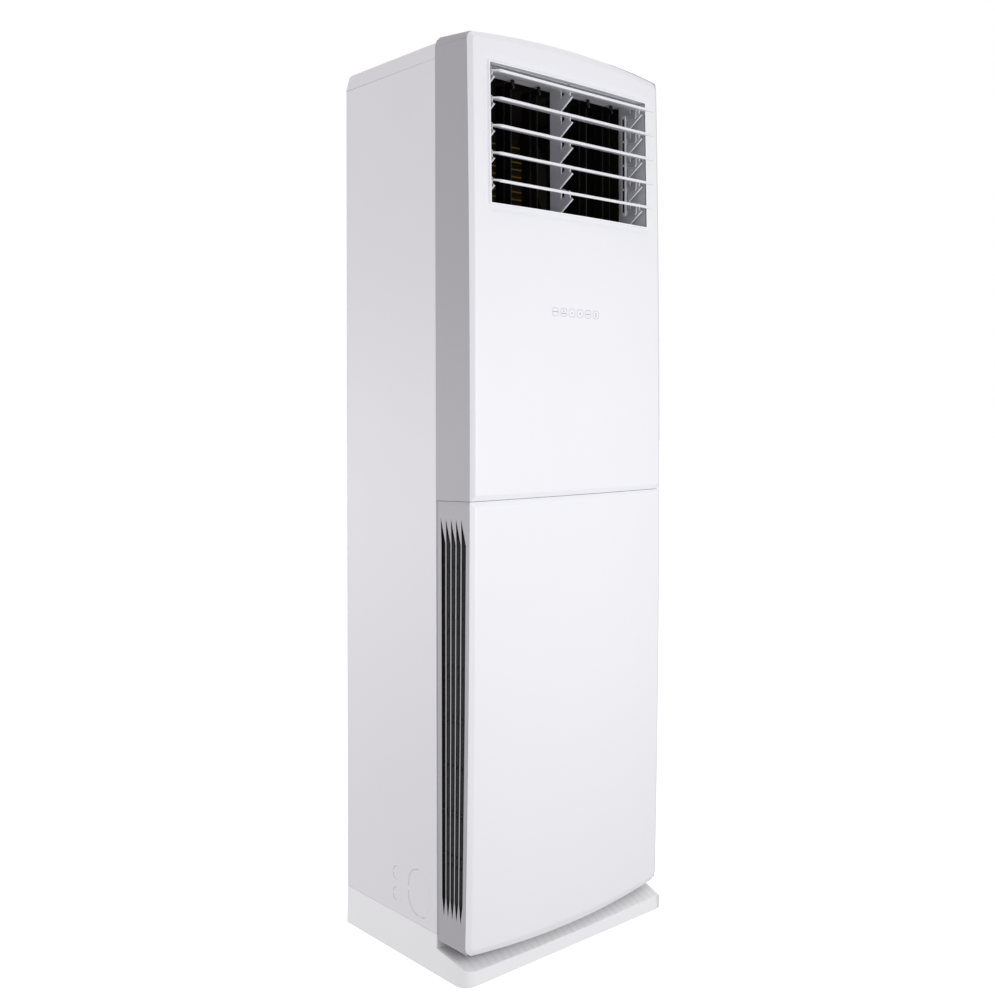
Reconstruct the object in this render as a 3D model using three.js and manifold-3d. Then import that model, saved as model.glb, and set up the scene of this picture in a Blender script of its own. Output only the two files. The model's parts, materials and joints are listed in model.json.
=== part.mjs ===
// Floor standing air conditioner: a tall cabinet with a louvred outlet at the top of its
// front, intake grilles in the sides of its lower front panel, a centrifugal blower in the
// lower half and an inclined evaporator in the upper half.
//
// Millimetres, +Z up, the front faces -Y. While the parts are made, the back face of the
// cabinet is the plane y = 0 and the front has negative y. At the end the whole group is
// moved so that its origin is the middle of its footprint, on the floor.

import * as THREE from 'three';
import { mergeVertices } from 'three/addons/utils/BufferGeometryUtils.js';
import Module from 'manifold-3d';

const wasm = await Module();
wasm.setup();

// ---------------------------------------------------------------- driving dimensions

// Cabinet
const cabinetWidth = 540;
const cabinetDepth = 301;
const baseHeight = 77;
const coverSeamHeight = 1757;
const coverHeight = 29;
const sheet = 1;
const mouldedWall = 2.5;
const seatGap = 0.3;
const flangeWidth = 14;

// Front mouldings: a gentle bow from top to bottom and a bulge from side to side
const frontProjection = 100.8;
const bowHeight = 1125;
const bowRadius = 33800;
const bulgeDepth = 8;
const rimBow = 8;
const bevelWidth = 10;
const bevelDepth = 6;
const panelSeamHeight = 911;
const panelSeamWidth = 3;
const frontTopRise = 31;
const frontTopArch = 13.5;
const frontBottomHeight = 62;
const frontBottomArch = 14;
const panelTopRadius = 10;
const panelBottomRadius = 14;
const panelSeamRadius = 2;
const fasciaWall = 3;
const trimCornerDrop = 13;
const trimRearRise = 3.5;
const trimRearRadius = 10;

// Plinth
const plinthFlare = 2;
const plinthToe = 93;
const plinthToeBulge = 7;
const plinthCornerRadius = 27;
const plinthWall = 3;
const plinthFootWidth = 18;
const toeRearHeight = 50;
const toeMiddleHeight = 42;
const toeMiddleSetback = 37;
const toeFrontHeight = 25;

// Sheet details: beads of the rear sheet and knock-outs of the side sheets
const beadDepth = 3;
const beadWidth = 32;
const beadSetOff = 130;
const knockoutCut = 1;
const knockoutTab = 16;
const roundKnockout = { radius: 14, setback: 126, heights: [109, 151] };
const longKnockout = { halfDepth: 33, halfHeight: 44.5, setback: 54, height: 136 };

// Outlet and its louvres
const outletSideMargin = 49;
const outletTopMargin = 51.5;
const outletHeight = 265.5;
const outletRim = 3;
const outletRimProud = 1.2;
const ductRearReach = 27;
const ductClearance = 1.5;
const ductFrontGap = 0.9;
const louvreCount = 5;
const louvrePitch = 51.5;
const topLouvreDrop = 13.5;
const louvrePivotReach = 93;
const louvreSideGap = 2;
const louvreFront = 41.5;
const louvreRear = 8;
const louvreThickness = 3.2;
const louvreLip = 5.4;
const louvreCornerRadius = 8;
const louvreRestTilt = 12;
const louvrePinRadius = 2;
const pinClearance = 0.3;
const louvreNotchWidth = 10;
const louvreNotchDepth = 18;
const supportThickness = 3;
const supportInset = 12;
const supportFrontReach = 70;
const supportRearReach = 41;
const toothReach = 34;
const toothDrop = 12;
const toothRoot = 36;
const hookRadius = 6.4;
const hookMouth = 40;
const toothCrown = 12;
const leverBack = 31.5;
const leverDown = 13;
const leverWidth = 11.5;
const leverThickness = 2;
const linkWidth = 12;
const linkThickness = 3;
const linkPinRadius = 1.5;

// Vertical vanes behind the louvres
const vaneCount = 6;
const vaneSideMargin = 41;
const vaneFrontReach = 39;
const vaneDepth = 46;
const vanePivotReach = 19;
const vaneThickness = 1.8;
const vaneBottomGap = 5;
const vaneTopGap = 5;
const vaneCornerRadius = 18;
const vanePinRadius = 2.5;
const vaneLinkReach = 31;
const vaneLinkThickness = 2.4;
const vaneLinkWidth = 9;
const vaneRailThickness = 5;
const vaneRailDepth = 29;

// Evaporator, plenum and drip tray
const coilFootSetback = 16;
const coilFootDrop = 5;
const coilTopDepth = 70;
const coilTopDrop = 67;
const coilThickness = 44;
const coilSideSpace = 26.5;
const tubePitch = 21.1;
const tubeRadius = 4.8;
const finGroove = 1.2;
const endPlateThickness = 1.5;
const plenumWall = 20;
const plenumInset = 24;
const plenumRise = 279;
const plenumTopThickness = 8;
const plenumRear = 14;
const trayFrontReach = 24;
const trayDepth = 80;
const trayHeight = 40;
const trayWall = 2;
const spigotRadius = 8;
const spigotLength = 24;
const gasPipe = { radius: 8, setback: 73, topRise: 15 };
const liquidPipe = { radius: 4.8, setback: 96, topRise: 60 };
const pipeWallGap = 23;
const pipeBendDrop = 40;
const pipeEndRise = 80;
const flareNutLength = 22;

// Blower
const blowerAxis = { x: -25, height: 520 };
const scrollFrontSetback = 39;
const scrollRear = 118;
const scrollStartRadius = 176;
const scrollGrowth = 46;
const scrollWall = 2;
const scrollMouthWidth = 150;
const impellerRadius = 150;
const impellerInnerRadius = 122;
const impellerEndGap = 12;
const impellerRearGap = 22;
const impellerRing = 6;
const bladeCount = 24;
const bladeThickness = 1.6;
const bladeHollow = 3;
const hubRadius = 22;
const hubLength = 34;
const shaftRadius = 6;
const shaftNutThickness = 8;
const motorRadius = 58;
const motorLength = 76;
const motorShoulder = 14;
const motorStandOff = 6;
const bracketFlange = 26;
const bracketCollar = 22;
const bellmouthLip = 26;
const deckDrop = 31;
const deckRightInset = 40;
const deckSheet = 1.5;
const deckRim = 18;

// Intake grilles and filters
const grilleInset = 2;
const grilleBottom = 66;
const slotCount = 5;
const slotTop = 827;
const slotBottom = 168;
const slotTopTip = 875;
const slotBottomTip = 132;
const slotRearMargin = 14;
const slotFrontMargin = 13;
const slotBarWidth = 3;
const tieCount = 7;
const tieTop = 740;
const tiePitch = 84;
const tieSize = 1.5;
const filterThickness = 3;
const filterRib = 6;
const filterMesh = 0.6;
const filterWindows = 8;

// Electrics
const railHeight = 30;
const railDepth = 26;
const controlBoxWidth = 260;
const controlBoxHeight = 190;
const controlBoxDepth = 62;
const keyBoardWidth = 150;
const keyBoardHeight = 46;
const keyDrop = 196;
const boardThickness = 2;
const boardStandOff = 6;
const boardMargin = 20;
const boardPost = { along: 10, up: 10, size: 8 };
const relay = { along: 30, up: 40, size: 30, depth: 18 };
const choke = { along: 90, up: 100, radius: 16, depth: 22 };
const terminalGap = 10;
const terminalWidth = 58;
const terminalHeight = 120;
const terminalDepth = 14;
const terminalCount = 5;
const terminalPitch = 22;
const terminalRib = 8;
const stepperRadius = 14;
const stepperLength = 20;

// ---------------------------------------------------------------- derived sizes

const halfWidth = cabinetWidth / 2;
const frontDepth = cabinetDepth + frontProjection;
const frontTopHeight = coverSeamHeight + frontTopRise;
const outletWidth = cabinetWidth - 2 * outletSideMargin;
const outletTop = frontTopHeight - outletTopMargin;
const outletBottom = outletTop - outletHeight;
const halfOutlet = outletWidth / 2;
const innerHalf = halfWidth - sheet - seatGap;
const flangeHalf = halfWidth - flangeWidth - seatGap;
const ductHalf = halfOutlet + ductClearance;
const ductBottom = outletBottom - ductClearance;
const ductTop = outletTop + ductClearance;
const supportX = ductHalf + ductClearance - supportInset - supportThickness / 2;
const ductRear = cabinetDepth + ductRearReach;
const louvreWidth = outletWidth - 2 * louvreSideGap;
const louvrePivotDepth = cabinetDepth + louvrePivotReach;
const topLouvrePivotHeight = outletTop - topLouvreDrop;
const supportFront = cabinetDepth + supportFrontReach;
const supportRear = cabinetDepth + supportRearReach;
const vanePitch = (outletWidth - 2 * vaneSideMargin) / (vaneCount - 1);
const vaneFront = cabinetDepth + vaneFrontReach;
const vaneRear = vaneFront - vaneDepth;
const vanePivotDepth = cabinetDepth + vanePivotReach;
const vaneLinkDepth = cabinetDepth + vaneLinkReach;
const vaneRailRear = ductRear - vaneRailDepth;
const scrollFront = cabinetDepth - scrollFrontSetback;
const trayFront = cabinetDepth + trayFrontReach;
const trayRear = trayFront - trayDepth;
const keyHeight = outletBottom - keyDrop;
const vaneBottom = ductBottom + vaneBottomGap;
const vaneTop = ductTop - vaneTopGap;
const vaneLinkZ = ductBottom + (vaneBottomGap - vaneLinkThickness) / 2;
const plenumBottom = panelSeamHeight + plenumRise;
const trayTop = plenumBottom - seatGap;
const deckHeight = panelSeamHeight - deckDrop;
const trayBottom = trayTop - trayHeight;
const plenumOuter = ductHalf + plenumInset;
const plenumInner = plenumOuter - plenumWall;

// ---------------------------------------------------------------- materials

function finish(color, roughness, metalness = 0) {
  return new THREE.MeshStandardMaterial({ color, roughness, metalness });
}

const whiteSteel = finish(0xdad8d6, 0.45, 0.1);
const whiteGloss = finish(0xf2f2f5, 0.28);
const whiteMatt = finish(0xe4e4e6, 0.5);
const greyMoulding = finish(0xa9a7ac, 0.5);
const greyDuct = finish(0x9b9aa1, 0.55);
const blackPlastic = finish(0x111113, 0.4);
const darkFoam = finish(0x1d1b17, 0.9);
const zincSteel = finish(0x9fa3a6, 0.4, 0.8);
const aluminium = finish(0xb9bbbd, 0.35, 0.9);
const copper = finish(0xb06a3c, 0.35, 0.9);
const boardGreen = finish(0x1f5a3a, 0.5);
const filterGrey = finish(0x3a3d42, 0.8);
const motorGrey = finish(0x5d6064, 0.5, 0.4);

// ---------------------------------------------------------------- solids from geometry

function solidOf(geometry) {
  const bare = geometry.clone();
  for (const key of Object.keys(bare.attributes)) {
    if (key !== 'position') {
      bare.deleteAttribute(key);
    }
  }
  const merged = mergeVertices(bare, 1e-4);
  const mesh = new wasm.Mesh({
    numProp: 3,
    vertProperties: Float32Array.from(merged.attributes.position.array),
    triVerts: Uint32Array.from(merged.index.array),
  });
  return new wasm.Manifold(mesh);
}

function geometryOf(solid) {
  const mesh = solid.getMesh();
  const geometry = new THREE.BufferGeometry();
  const positions = Float32Array.from(mesh.vertProperties);
  geometry.setAttribute('position', new THREE.BufferAttribute(positions, 3));
  geometry.setIndex(new THREE.BufferAttribute(Uint32Array.from(mesh.triVerts), 1));
  geometry.computeVertexNormals();
  return geometry;
}

function join(first, ...others) {
  return others.reduce((whole, geometry) => whole.add(solidOf(geometry)), solidOf(first));
}

function cut(whole, ...tools) {
  return tools.reduce((rest, geometry) => rest.subtract(solidOf(geometry)), whole);
}

// ---------------------------------------------------------------- basic shapes

const xAxis = new THREE.Vector3(1, 0, 0);
const yAxis = new THREE.Vector3(0, 1, 0);
const zAxis = new THREE.Vector3(0, 0, 1);

function shapeFrom(points, holes = []) {
  const shape = new THREE.Shape(points.map(([u, v]) => new THREE.Vector2(u, v)));
  for (const hole of holes) {
    shape.holes.push(new THREE.Path(hole.map(([u, v]) => new THREE.Vector2(u, v))));
  }
  return shape;
}

function block(x0, x1, y0, y1, z0, z1) {
  const geometry = new THREE.BoxGeometry(x1 - x0, y1 - y0, z1 - z0);
  return geometry.translate((x0 + x1) / 2, (y0 + y1) / 2, (z0 + z1) / 2);
}

// An outline drawn in (y, z) and extruded from x0 to x1
function alongX(points, x0, x1, holes) {
  const settings = { depth: x1 - x0, bevelEnabled: false };
  const geometry = new THREE.ExtrudeGeometry(shapeFrom(points, holes), settings);
  geometry.applyMatrix4(new THREE.Matrix4().makeBasis(yAxis, zAxis, xAxis));
  return geometry.translate(x0, 0, 0);
}

// An outline drawn in (x, z) and extruded from y0 to y1
function alongY(points, y0, y1, holes) {
  const settings = { depth: y1 - y0, bevelEnabled: false };
  const geometry = new THREE.ExtrudeGeometry(shapeFrom(points, holes), settings);
  geometry.applyMatrix4(new THREE.Matrix4().makeBasis(xAxis, zAxis, yAxis.clone().negate()));
  return geometry.translate(0, y1, 0);
}

// An outline drawn in (x, y) and extruded from z0 to z1
function alongZ(points, z0, z1, holes) {
  const settings = { depth: z1 - z0, bevelEnabled: false };
  const geometry = new THREE.ExtrudeGeometry(shapeFrom(points, holes), settings);
  return geometry.translate(0, 0, z0);
}

function ordered(a, b) {
  return a < b ? [a, b] : [b, a];
}

function arcPoints(u, v, radius, fromDegrees, toDegrees, steps) {
  const points = [];
  for (let i = 0; i <= steps; i += 1) {
    const angle = THREE.MathUtils.degToRad(fromDegrees + (toDegrees - fromDegrees) * i / steps);
    points.push([u + radius * Math.cos(angle), v + radius * Math.sin(angle)]);
  }
  return points;
}

function circlePoints(u, v, radius, steps) {
  return arcPoints(u, v, radius, 0, 360, steps).slice(0, steps);
}

function roundedRectangle(u0, u1, v0, v1, radius, steps = 3) {
  return [
    ...arcPoints(u1 - radius, v0 + radius, radius, -90, 0, steps),
    ...arcPoints(u1 - radius, v1 - radius, radius, 0, 90, steps),
    ...arcPoints(u0 + radius, v1 - radius, radius, 90, 180, steps),
    ...arcPoints(u0 + radius, v0 + radius, radius, 180, 270, steps),
  ];
}

function pinAlongX(x0, x1, y, z, radius, sides = 8) {
  return alongX(circlePoints(y, z, radius, sides), x0, x1);
}

function pinAlongY(x, z, radius, y0, y1, sides = 16) {
  return alongY(circlePoints(x, z, radius, sides), y0, y1);
}

function pinAlongZ(x, y, radius, z0, z1, sides = 8) {
  return alongZ(circlePoints(x, y, radius, sides), z0, z1);
}

// A skin over a stack of rings with equally many points. A ring of one point closes an end;
// with closed set, the last ring joins the first.
function skin(rings, closed = false) {
  const positions = [];
  const starts = [];
  for (const ring of rings) {
    starts.push(positions.length / 3);
    ring.forEach((point) => positions.push(point.x, point.y, point.z));
  }
  const triangles = [];
  const bands = closed ? rings.length : rings.length - 1;
  for (let band = 0; band < bands; band += 1) {
    const next = (band + 1) % rings.length;
    const a = starts[band];
    const b = starts[next];
    const count = Math.max(rings[band].length, rings[next].length);
    for (let i = 0; i < count; i += 1) {
      const j = (i + 1) % count;
      if (rings[band].length === 1) {
        triangles.push(a, b + i, b + j);
      } else if (rings[next].length === 1) {
        triangles.push(a + i, b, a + j);
      } else {
        triangles.push(a + i, b + i, b + j, a + i, b + j, a + j);
      }
    }
  }
  const geometry = new THREE.BufferGeometry();
  geometry.setAttribute('position', new THREE.Float32BufferAttribute(positions, 3));
  geometry.setIndex(triangles);
  return geometry;
}

// ---------------------------------------------------------------- the assembly

const airConditioner = new THREE.Group();

function addPiece(name, material, shape) {
  const geometry = shape.isBufferGeometry ? shape : geometryOf(shape);
  const mesh = new THREE.Mesh(geometry, material);
  mesh.name = name;
  airConditioner.add(mesh);
  return mesh;
}

// ---------------------------------------------------------------- front surface

// The outer side edge of the front mouldings at a height
function frontEdge(z) {
  return -(frontDepth - (z - bowHeight) ** 2 / (2 * bowRadius));
}

// The rim of the front mouldings, which bows forwards between the side edges
function frontRim(x, z) {
  return frontEdge(z) - rimBow * (1 - (x / halfWidth) ** 2);
}

// The outer face of the front panels, inside their bevel
function frontFace(x, z) {
  const halfFace = halfWidth - bevelWidth;
  return frontEdge(z) - bevelDepth - bulgeDepth * (1 - (x / halfFace) ** 2);
}

// Front outline of a panel as [x, z] points, anticlockwise seen from the front
function panelOutline(bottom, top) {
  const sideSteps = 4;
  const edgeSteps = 6;
  const cornerSteps = 3;
  const lowX = halfWidth - bottom.radius;
  const highX = halfWidth - top.radius;
  const points = [];
  for (let i = 0; i <= edgeSteps; i += 1) {
    const x = lowX * (2 * i / edgeSteps - 1);
    points.push([x, bottom.height - bottom.arch * (1 - (x / lowX) ** 2)]);
  }
  const lowZ = bottom.height + bottom.radius;
  const highZ = top.height - top.radius;
  points.push(...arcPoints(lowX, lowZ, bottom.radius, -90, 0, cornerSteps).slice(1));
  for (let i = 1; i < sideSteps; i += 1) {
    points.push([halfWidth, lowZ + (highZ - lowZ) * i / sideSteps]);
  }
  points.push(...arcPoints(highX, highZ, top.radius, 0, 90, cornerSteps));
  for (let i = 1; i < edgeSteps; i += 1) {
    const x = highX * (1 - 2 * i / edgeSteps);
    points.push([x, top.height + top.arch * (1 - (x / highX) ** 2)]);
  }
  points.push(...arcPoints(-highX, highZ, top.radius, 90, 180, cornerSteps));
  for (let i = 1; i < sideSteps; i += 1) {
    points.push([-halfWidth, highZ - (highZ - lowZ) * i / sideSteps]);
  }
  points.push(...arcPoints(-lowX, lowZ, bottom.radius, 180, 270, cornerSteps).slice(0, -1));
  return points;
}

// A moulded fascia: a bulged face with a bevel round its edge and a turned-back rim
function fascia(bottom, top) {
  const outline = panelOutline(bottom, top);
  const centreZ = (bottom.height + top.height) / 2;
  const halfHeight = (top.height - bottom.height) / 2;

  function ring(inset, share, depthOf) {
    return outline.map(([x, z]) => {
      const ringX = x * share * (halfWidth - inset) / halfWidth;
      const ringZ = centreZ + (z - centreZ) * share * (halfHeight - inset) / halfHeight;
      return new THREE.Vector3(ringX, depthOf(ringX, ringZ), ringZ);
    });
  }

  const back = (x, z) => frontFace(x, z) + fasciaWall;
  const innerBevel = bevelWidth + fasciaWall / 2;
  return skin([
    [new THREE.Vector3(0, frontFace(0, centreZ), centreZ)],
    ring(bevelWidth, 0.4, frontFace),
    ring(bevelWidth, 0.75, frontFace),
    ring(bevelWidth, 1, frontFace),
    ring(0, 1, frontRim),
    ring(fasciaWall, 1, frontRim),
    ring(innerBevel, 1, back),
    ring(innerBevel, 0.75, back),
    ring(innerBevel, 0.4, back),
    [new THREE.Vector3(0, back(0, centreZ), centreZ)],
  ]);
}

// A rectangular loop round the outlet whose section follows the front surface.
// Each corner of the section is [offset outwards, depth behind the face].
function outletLoop(section) {
  const steps = 4;
  const rings = section.map(([offset, depth]) => {
    const x1 = halfOutlet + offset;
    const z0 = outletBottom - offset;
    const z1 = outletTop + offset;
    const ring = [];
    for (let i = 0; i < steps; i += 1) {
      ring.push([-x1 + 2 * x1 * i / steps, z0]);
    }
    for (let i = 0; i < steps; i += 1) {
      ring.push([x1, z0 + (z1 - z0) * i / steps]);
    }
    for (let i = 0; i < steps; i += 1) {
      ring.push([x1 - 2 * x1 * i / steps, z1]);
    }
    for (let i = 0; i < steps; i += 1) {
      ring.push([-x1, z1 - (z1 - z0) * i / steps]);
    }
    return ring.map(([x, z]) => new THREE.Vector3(x, frontFace(x, z) + depth, z));
  });
  return skin(rings, true);
}

function addUpperFront() {
  const bottom = {
    height: panelSeamHeight + panelSeamWidth / 2, arch: 0, radius: panelSeamRadius,
  };
  const top = { height: frontTopHeight, arch: frontTopArch, radius: panelTopRadius };
  const opening = roundedRectangle(-halfOutlet, halfOutlet, outletBottom, outletTop, 2, 1);
  const hollow = alongY(opening, -frontDepth - bevelDepth - 2 * bulgeDepth, -ductRear);
  const rim = outletLoop([
    [0, fasciaWall / 2],
    [0, -outletRimProud],
    [outletRim - 1, -outletRimProud],
    [outletRim, fasciaWall / 2],
  ]);
  const panel = cut(solidOf(fascia(bottom, top)), hollow);
  addPiece('upper_front_panel', whiteGloss, panel.add(solidOf(rim)));
}

// ---------------------------------------------------------------- upper trims

const trimRearY = -(cabinetDepth + seatGap);
const trimSeamHeight = frontTopHeight - trimCornerDrop;

// How much the top of the front mouldings rises towards the cabinet
function trimRise(y) {
  const front = frontEdge(trimSeamHeight);
  return trimRearRise * (y - front) / (trimRearY - front);
}

function addSideTrim(name, side) {
  const steps = 7;
  const bottom = panelSeamHeight + panelSeamWidth / 2;
  const top = trimSeamHeight - seatGap;
  const points = [[trimRearY, bottom], [trimRearY, top + trimRise(trimRearY)]];
  for (let i = 0; i <= steps; i += 1) {
    const z = top - (top - bottom) * i / steps;
    points.push([frontEdge(z) + seatGap, z]);
  }
  const x0 = side < 0 ? -halfWidth : halfWidth - mouldedWall;
  addPiece(name, greyMoulding, alongX(points.reverse(), x0, x0 + mouldedWall));
}

function addTopTrim() {
  const steps = 8;
  const bandOf = (drop) => {
    const x1 = halfWidth - drop;
    const radius = panelTopRadius - drop;
    const cornerX = x1 - radius;
    const cornerZ = frontTopHeight - panelTopRadius;
    const points = [[x1, trimSeamHeight]];
    points.push(...arcPoints(cornerX, cornerZ, radius, 0, 90, 3));
    for (let i = 1; i < steps; i += 1) {
      const x = cornerX * (1 - 2 * i / steps);
      points.push([x, cornerZ + radius + frontTopArch * (1 - (x / cornerX) ** 2)]);
    }
    points.push(...arcPoints(-cornerX, cornerZ, radius, 90, 180, 3));
    points.push([-x1, trimSeamHeight]);
    return points;
  };
  const outer = bandOf(0);
  const outline = [...outer, ...bandOf(mouldedWall).reverse()];
  const shares = outer.map(([, z]) => Math.min(1, (z - trimSeamHeight) / trimCornerDrop));
  const dropShares = [...shares, ...shares.slice().reverse()];
  const ringAt = (depthOf, drop) => outline.map(([x, z], index) => {
    const y = depthOf(x, z);
    return new THREE.Vector3(x, y, z + trimRise(y) - drop * dropShares[index]);
  });
  const rings = arcPoints(0, 0, trimRearRadius, 0, 90, 2).map(([back, up]) => (
    ringAt(() => trimRearY - trimRearRadius + back, trimRearRadius - up)
  ));
  rings.push(ringAt((x, z) => frontRim(x, z) + seatGap, 0));
  addPiece('upper_trim_top', greyMoulding, stripSolid(rings));
}

// A solid through equal outlines that are bands, from the rear one to the front one: the
// first half of each is the outer line and the second half the inner line, so that the ends
// are closed across the band.
function stripSolid(rings) {
  const count = rings[0].length;
  const half = count / 2;
  const sections = [];
  for (let i = 0; i < half; i += 1) {
    const outer = rings.map((ring) => ring[i]);
    const inner = rings.map((ring) => ring[count - 1 - i]);
    sections.push([...outer, ...inner.reverse()]);
  }
  const middleOf = (section) => {
    const middle = new THREE.Vector3();
    section.forEach((point) => middle.add(point));
    return [middle.divideScalar(section.length)];
  };
  return skin([middleOf(sections[0]), ...sections, middleOf(sections[half - 1])]);
}

// ---------------------------------------------------------------- cabinet sheets

// Ring sector cut through the side panel: one arc of a knock-out
function knockoutArc(y, z, radiusY, radiusZ, fromDegrees, toDegrees) {
  const steps = 3;
  const outer = arcPoints(0, 0, 1, fromDegrees, toDegrees, steps);
  const at = ([c, s], grow) => [y + (radiusY + grow) * c, z + (radiusZ + grow) * s];
  const outline = [
    ...outer.map((point) => at(point, knockoutCut / 2)),
    ...outer.map((point) => at(point, -knockoutCut / 2)).reverse(),
  ];
  return alongX(outline, -halfWidth - 1, halfWidth + 1);
}

// Two round knock-outs for cable and drain, in halves, and a long one for the pipes, in
// quarters, with tabs left between the cuts
function knockouts() {
  const arcs = [];
  const { radius, setback, heights } = roundKnockout;
  for (const z of heights) {
    for (const half of [-90, 90]) {
      const from = half + knockoutTab / 2;
      const to = half + 180 - knockoutTab / 2;
      arcs.push(knockoutArc(setback - cabinetDepth, z, radius, radius, from, to));
    }
  }
  const { halfDepth, halfHeight, height } = longKnockout;
  const y = longKnockout.setback - cabinetDepth;
  for (const quarter of [0, 90, 180, 270]) {
    const from = quarter + knockoutTab / 3;
    const to = quarter + 90 - knockoutTab / 3;
    arcs.push(knockoutArc(y, height, halfDepth, halfHeight, from, to));
  }
  return arcs;
}

function addSidePanel(name, side) {
  const outer = side * halfWidth;
  const inner = side * (halfWidth - sheet);
  const lip = side * (halfWidth - flangeWidth);
  const rear = -sheet - seatGap;
  const front = -cabinetDepth;
  const outline = [
    [outer, rear], [outer, front], [lip, front],
    [lip, front + sheet], [inner, front + sheet], [inner, rear],
  ];
  const points = side < 0 ? outline : outline.reverse();
  const panel = alongZ(points, baseHeight + seatGap, coverSeamHeight - seatGap);
  addPiece(name, whiteSteel, cut(solidOf(panel), ...knockouts()));
}

function addRearPanel() {
  const beadHalf = beadWidth / 2;
  const face = innerHalf - seatGap;
  const swage = (y, x) => [
    [x - beadHalf, y], [x - beadHalf + beadDepth, y - beadDepth],
    [x + beadHalf - beadDepth, y - beadDepth], [x + beadHalf, y],
  ];
  const outline = [
    [-halfWidth, 0], [-halfWidth, -sheet], [-face, -sheet], [-face, -flangeWidth],
    [-face + sheet, -flangeWidth], [-face + sheet, -sheet],
    ...swage(-sheet, -beadSetOff), ...swage(-sheet, beadSetOff),
    [face - sheet, -sheet], [face - sheet, -flangeWidth], [face, -flangeWidth],
    [face, -sheet], [halfWidth, -sheet], [halfWidth, 0],
    ...swage(0, beadSetOff).reverse(), ...swage(0, -beadSetOff).reverse(),
  ];
  const panel = alongZ(outline, baseHeight + seatGap, coverSeamHeight - seatGap);
  addPiece('rear_panel', whiteSteel, panel);
}

function addTopCover() {
  const edgeRadius = 12;
  const cornerRadius = 12;
  const front = -cabinetDepth - cornerRadius - edgeRadius;
  const ringAt = (inset, z) => {
    const radius = Math.max(cornerRadius - inset, 1);
    const points = roundedRectangle(
      -halfWidth + inset, halfWidth - inset, front + inset, -inset, radius, 2,
    );
    return points.map(([x, y]) => new THREE.Vector3(x, y, z));
  };
  const bottom = coverSeamHeight + seatGap;
  const top = coverSeamHeight + coverHeight;
  const shoulder = arcPoints(edgeRadius, top - edgeRadius, edgeRadius, 180, 90, 3);
  const outer = shoulder.map(([inset, z]) => ringAt(inset, z));
  const inner = shoulder.map(([inset, z]) => ringAt(inset + mouldedWall, z - mouldedWall));
  const middleY = front / 2;
  const shell = solidOf(skin([
    [new THREE.Vector3(0, middleY, top)],
    ...outer.reverse(),
    ringAt(0, bottom),
    ringAt(mouldedWall, bottom),
    ...inner,
    [new THREE.Vector3(0, middleY, top - mouldedWall)],
  ]));
  const ahead = block(
    -cabinetWidth, cabinetWidth, 2 * front, -cabinetDepth, 0, 2 * coverSeamHeight,
  );
  addPiece('top_cover', whiteSteel, cut(shell, ahead));
}

// ---------------------------------------------------------------- plinth

function plinthOutline(inset, flare) {
  const x1 = halfWidth + flare - inset;
  const front = -(cabinetDepth + plinthToe) + plinthToeBulge + inset;
  const radius = plinthCornerRadius - inset;
  const steps = 6;
  const cornerX = x1 - radius;
  const points = [[-x1, -inset]];
  points.push(...arcPoints(-cornerX, front + radius, radius, 180, 270, 4));
  for (let i = 1; i < steps; i += 1) {
    const x = cornerX * (2 * i / steps - 1);
    points.push([x, front - plinthToeBulge * (1 - (x / cornerX) ** 2)]);
  }
  points.push(...arcPoints(cornerX, front + radius, radius, 270, 360, 4));
  points.push([x1, -inset]);
  return points;
}

// Side profile of the plinth: full height under the cabinet and a falling toe in front
function plinthProfile(drop) {
  const rise = -cabinetDepth - seatGap + (drop > 0 ? drop : 0);
  const toeFront = -(cabinetDepth + plinthToe);
  const middle = toeFront + toeMiddleSetback;
  return [
    [toeFront - 5, -1],
    [5, -1],
    [5, baseHeight - seatGap - drop],
    [rise, baseHeight - seatGap - drop],
    [rise, toeRearHeight - drop],
    [middle, toeMiddleHeight - drop],
    [toeFront, toeFrontHeight - drop],
    [toeFront - 5, toeFrontHeight - drop - 2],
  ];
}

function plinthBody(inset, flare, drop, bottom) {
  const lower = plinthOutline(inset, flare);
  const upper = plinthOutline(inset, 0);
  const ringOf = (points, z) => points.map(([x, y]) => new THREE.Vector3(x, y, z));
  const middleY = -cabinetDepth / 2;
  const column = solidOf(skin([
    [new THREE.Vector3(0, middleY, baseHeight - seatGap)],
    ringOf(upper, baseHeight - seatGap),
    ringOf(lower, bottom),
    [new THREE.Vector3(0, middleY, bottom)],
  ]));
  const profile = alongX(plinthProfile(drop).reverse(), -cabinetWidth, cabinetWidth);
  return column.intersect(solidOf(profile));
}

function addPlinth() {
  const body = plinthBody(0, plinthFlare, 0, 0);
  const hollow = plinthBody(plinthWall, plinthFlare, plinthWall, plinthWall);
  const foot = alongZ(plinthOutline(plinthFootWidth, 0), -1, plinthWall + 1);
  addPiece('base_plinth', whiteMatt, cut(body.subtract(hollow), foot));
}

function addBasePan() {
  const rim = 14;
  const rear = -flangeWidth - seatGap;
  const front = -cabinetDepth + sheet + seatGap;
  const floor = baseHeight;
  const x1 = innerHalf - sheet - 2 * seatGap;
  const tray = block(-x1, x1, front, rear, floor, floor + rim);
  const hollow = block(-x1 + sheet, x1 - sheet, front + sheet, rear - sheet,
    floor + sheet, floor + rim + 1);
  addPiece('base_pan', zincSteel, cut(solidOf(tray), hollow));
}

// ---------------------------------------------------------------- lower front

// Depth of a point that is a share of the way from the rear of the grille to its front edge
function grilleDepth(share, z) {
  const rear = -cabinetDepth - slotRearMargin;
  const front = frontEdge(z) + slotFrontMargin;
  return rear + (front - rear) * share;
}

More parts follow.
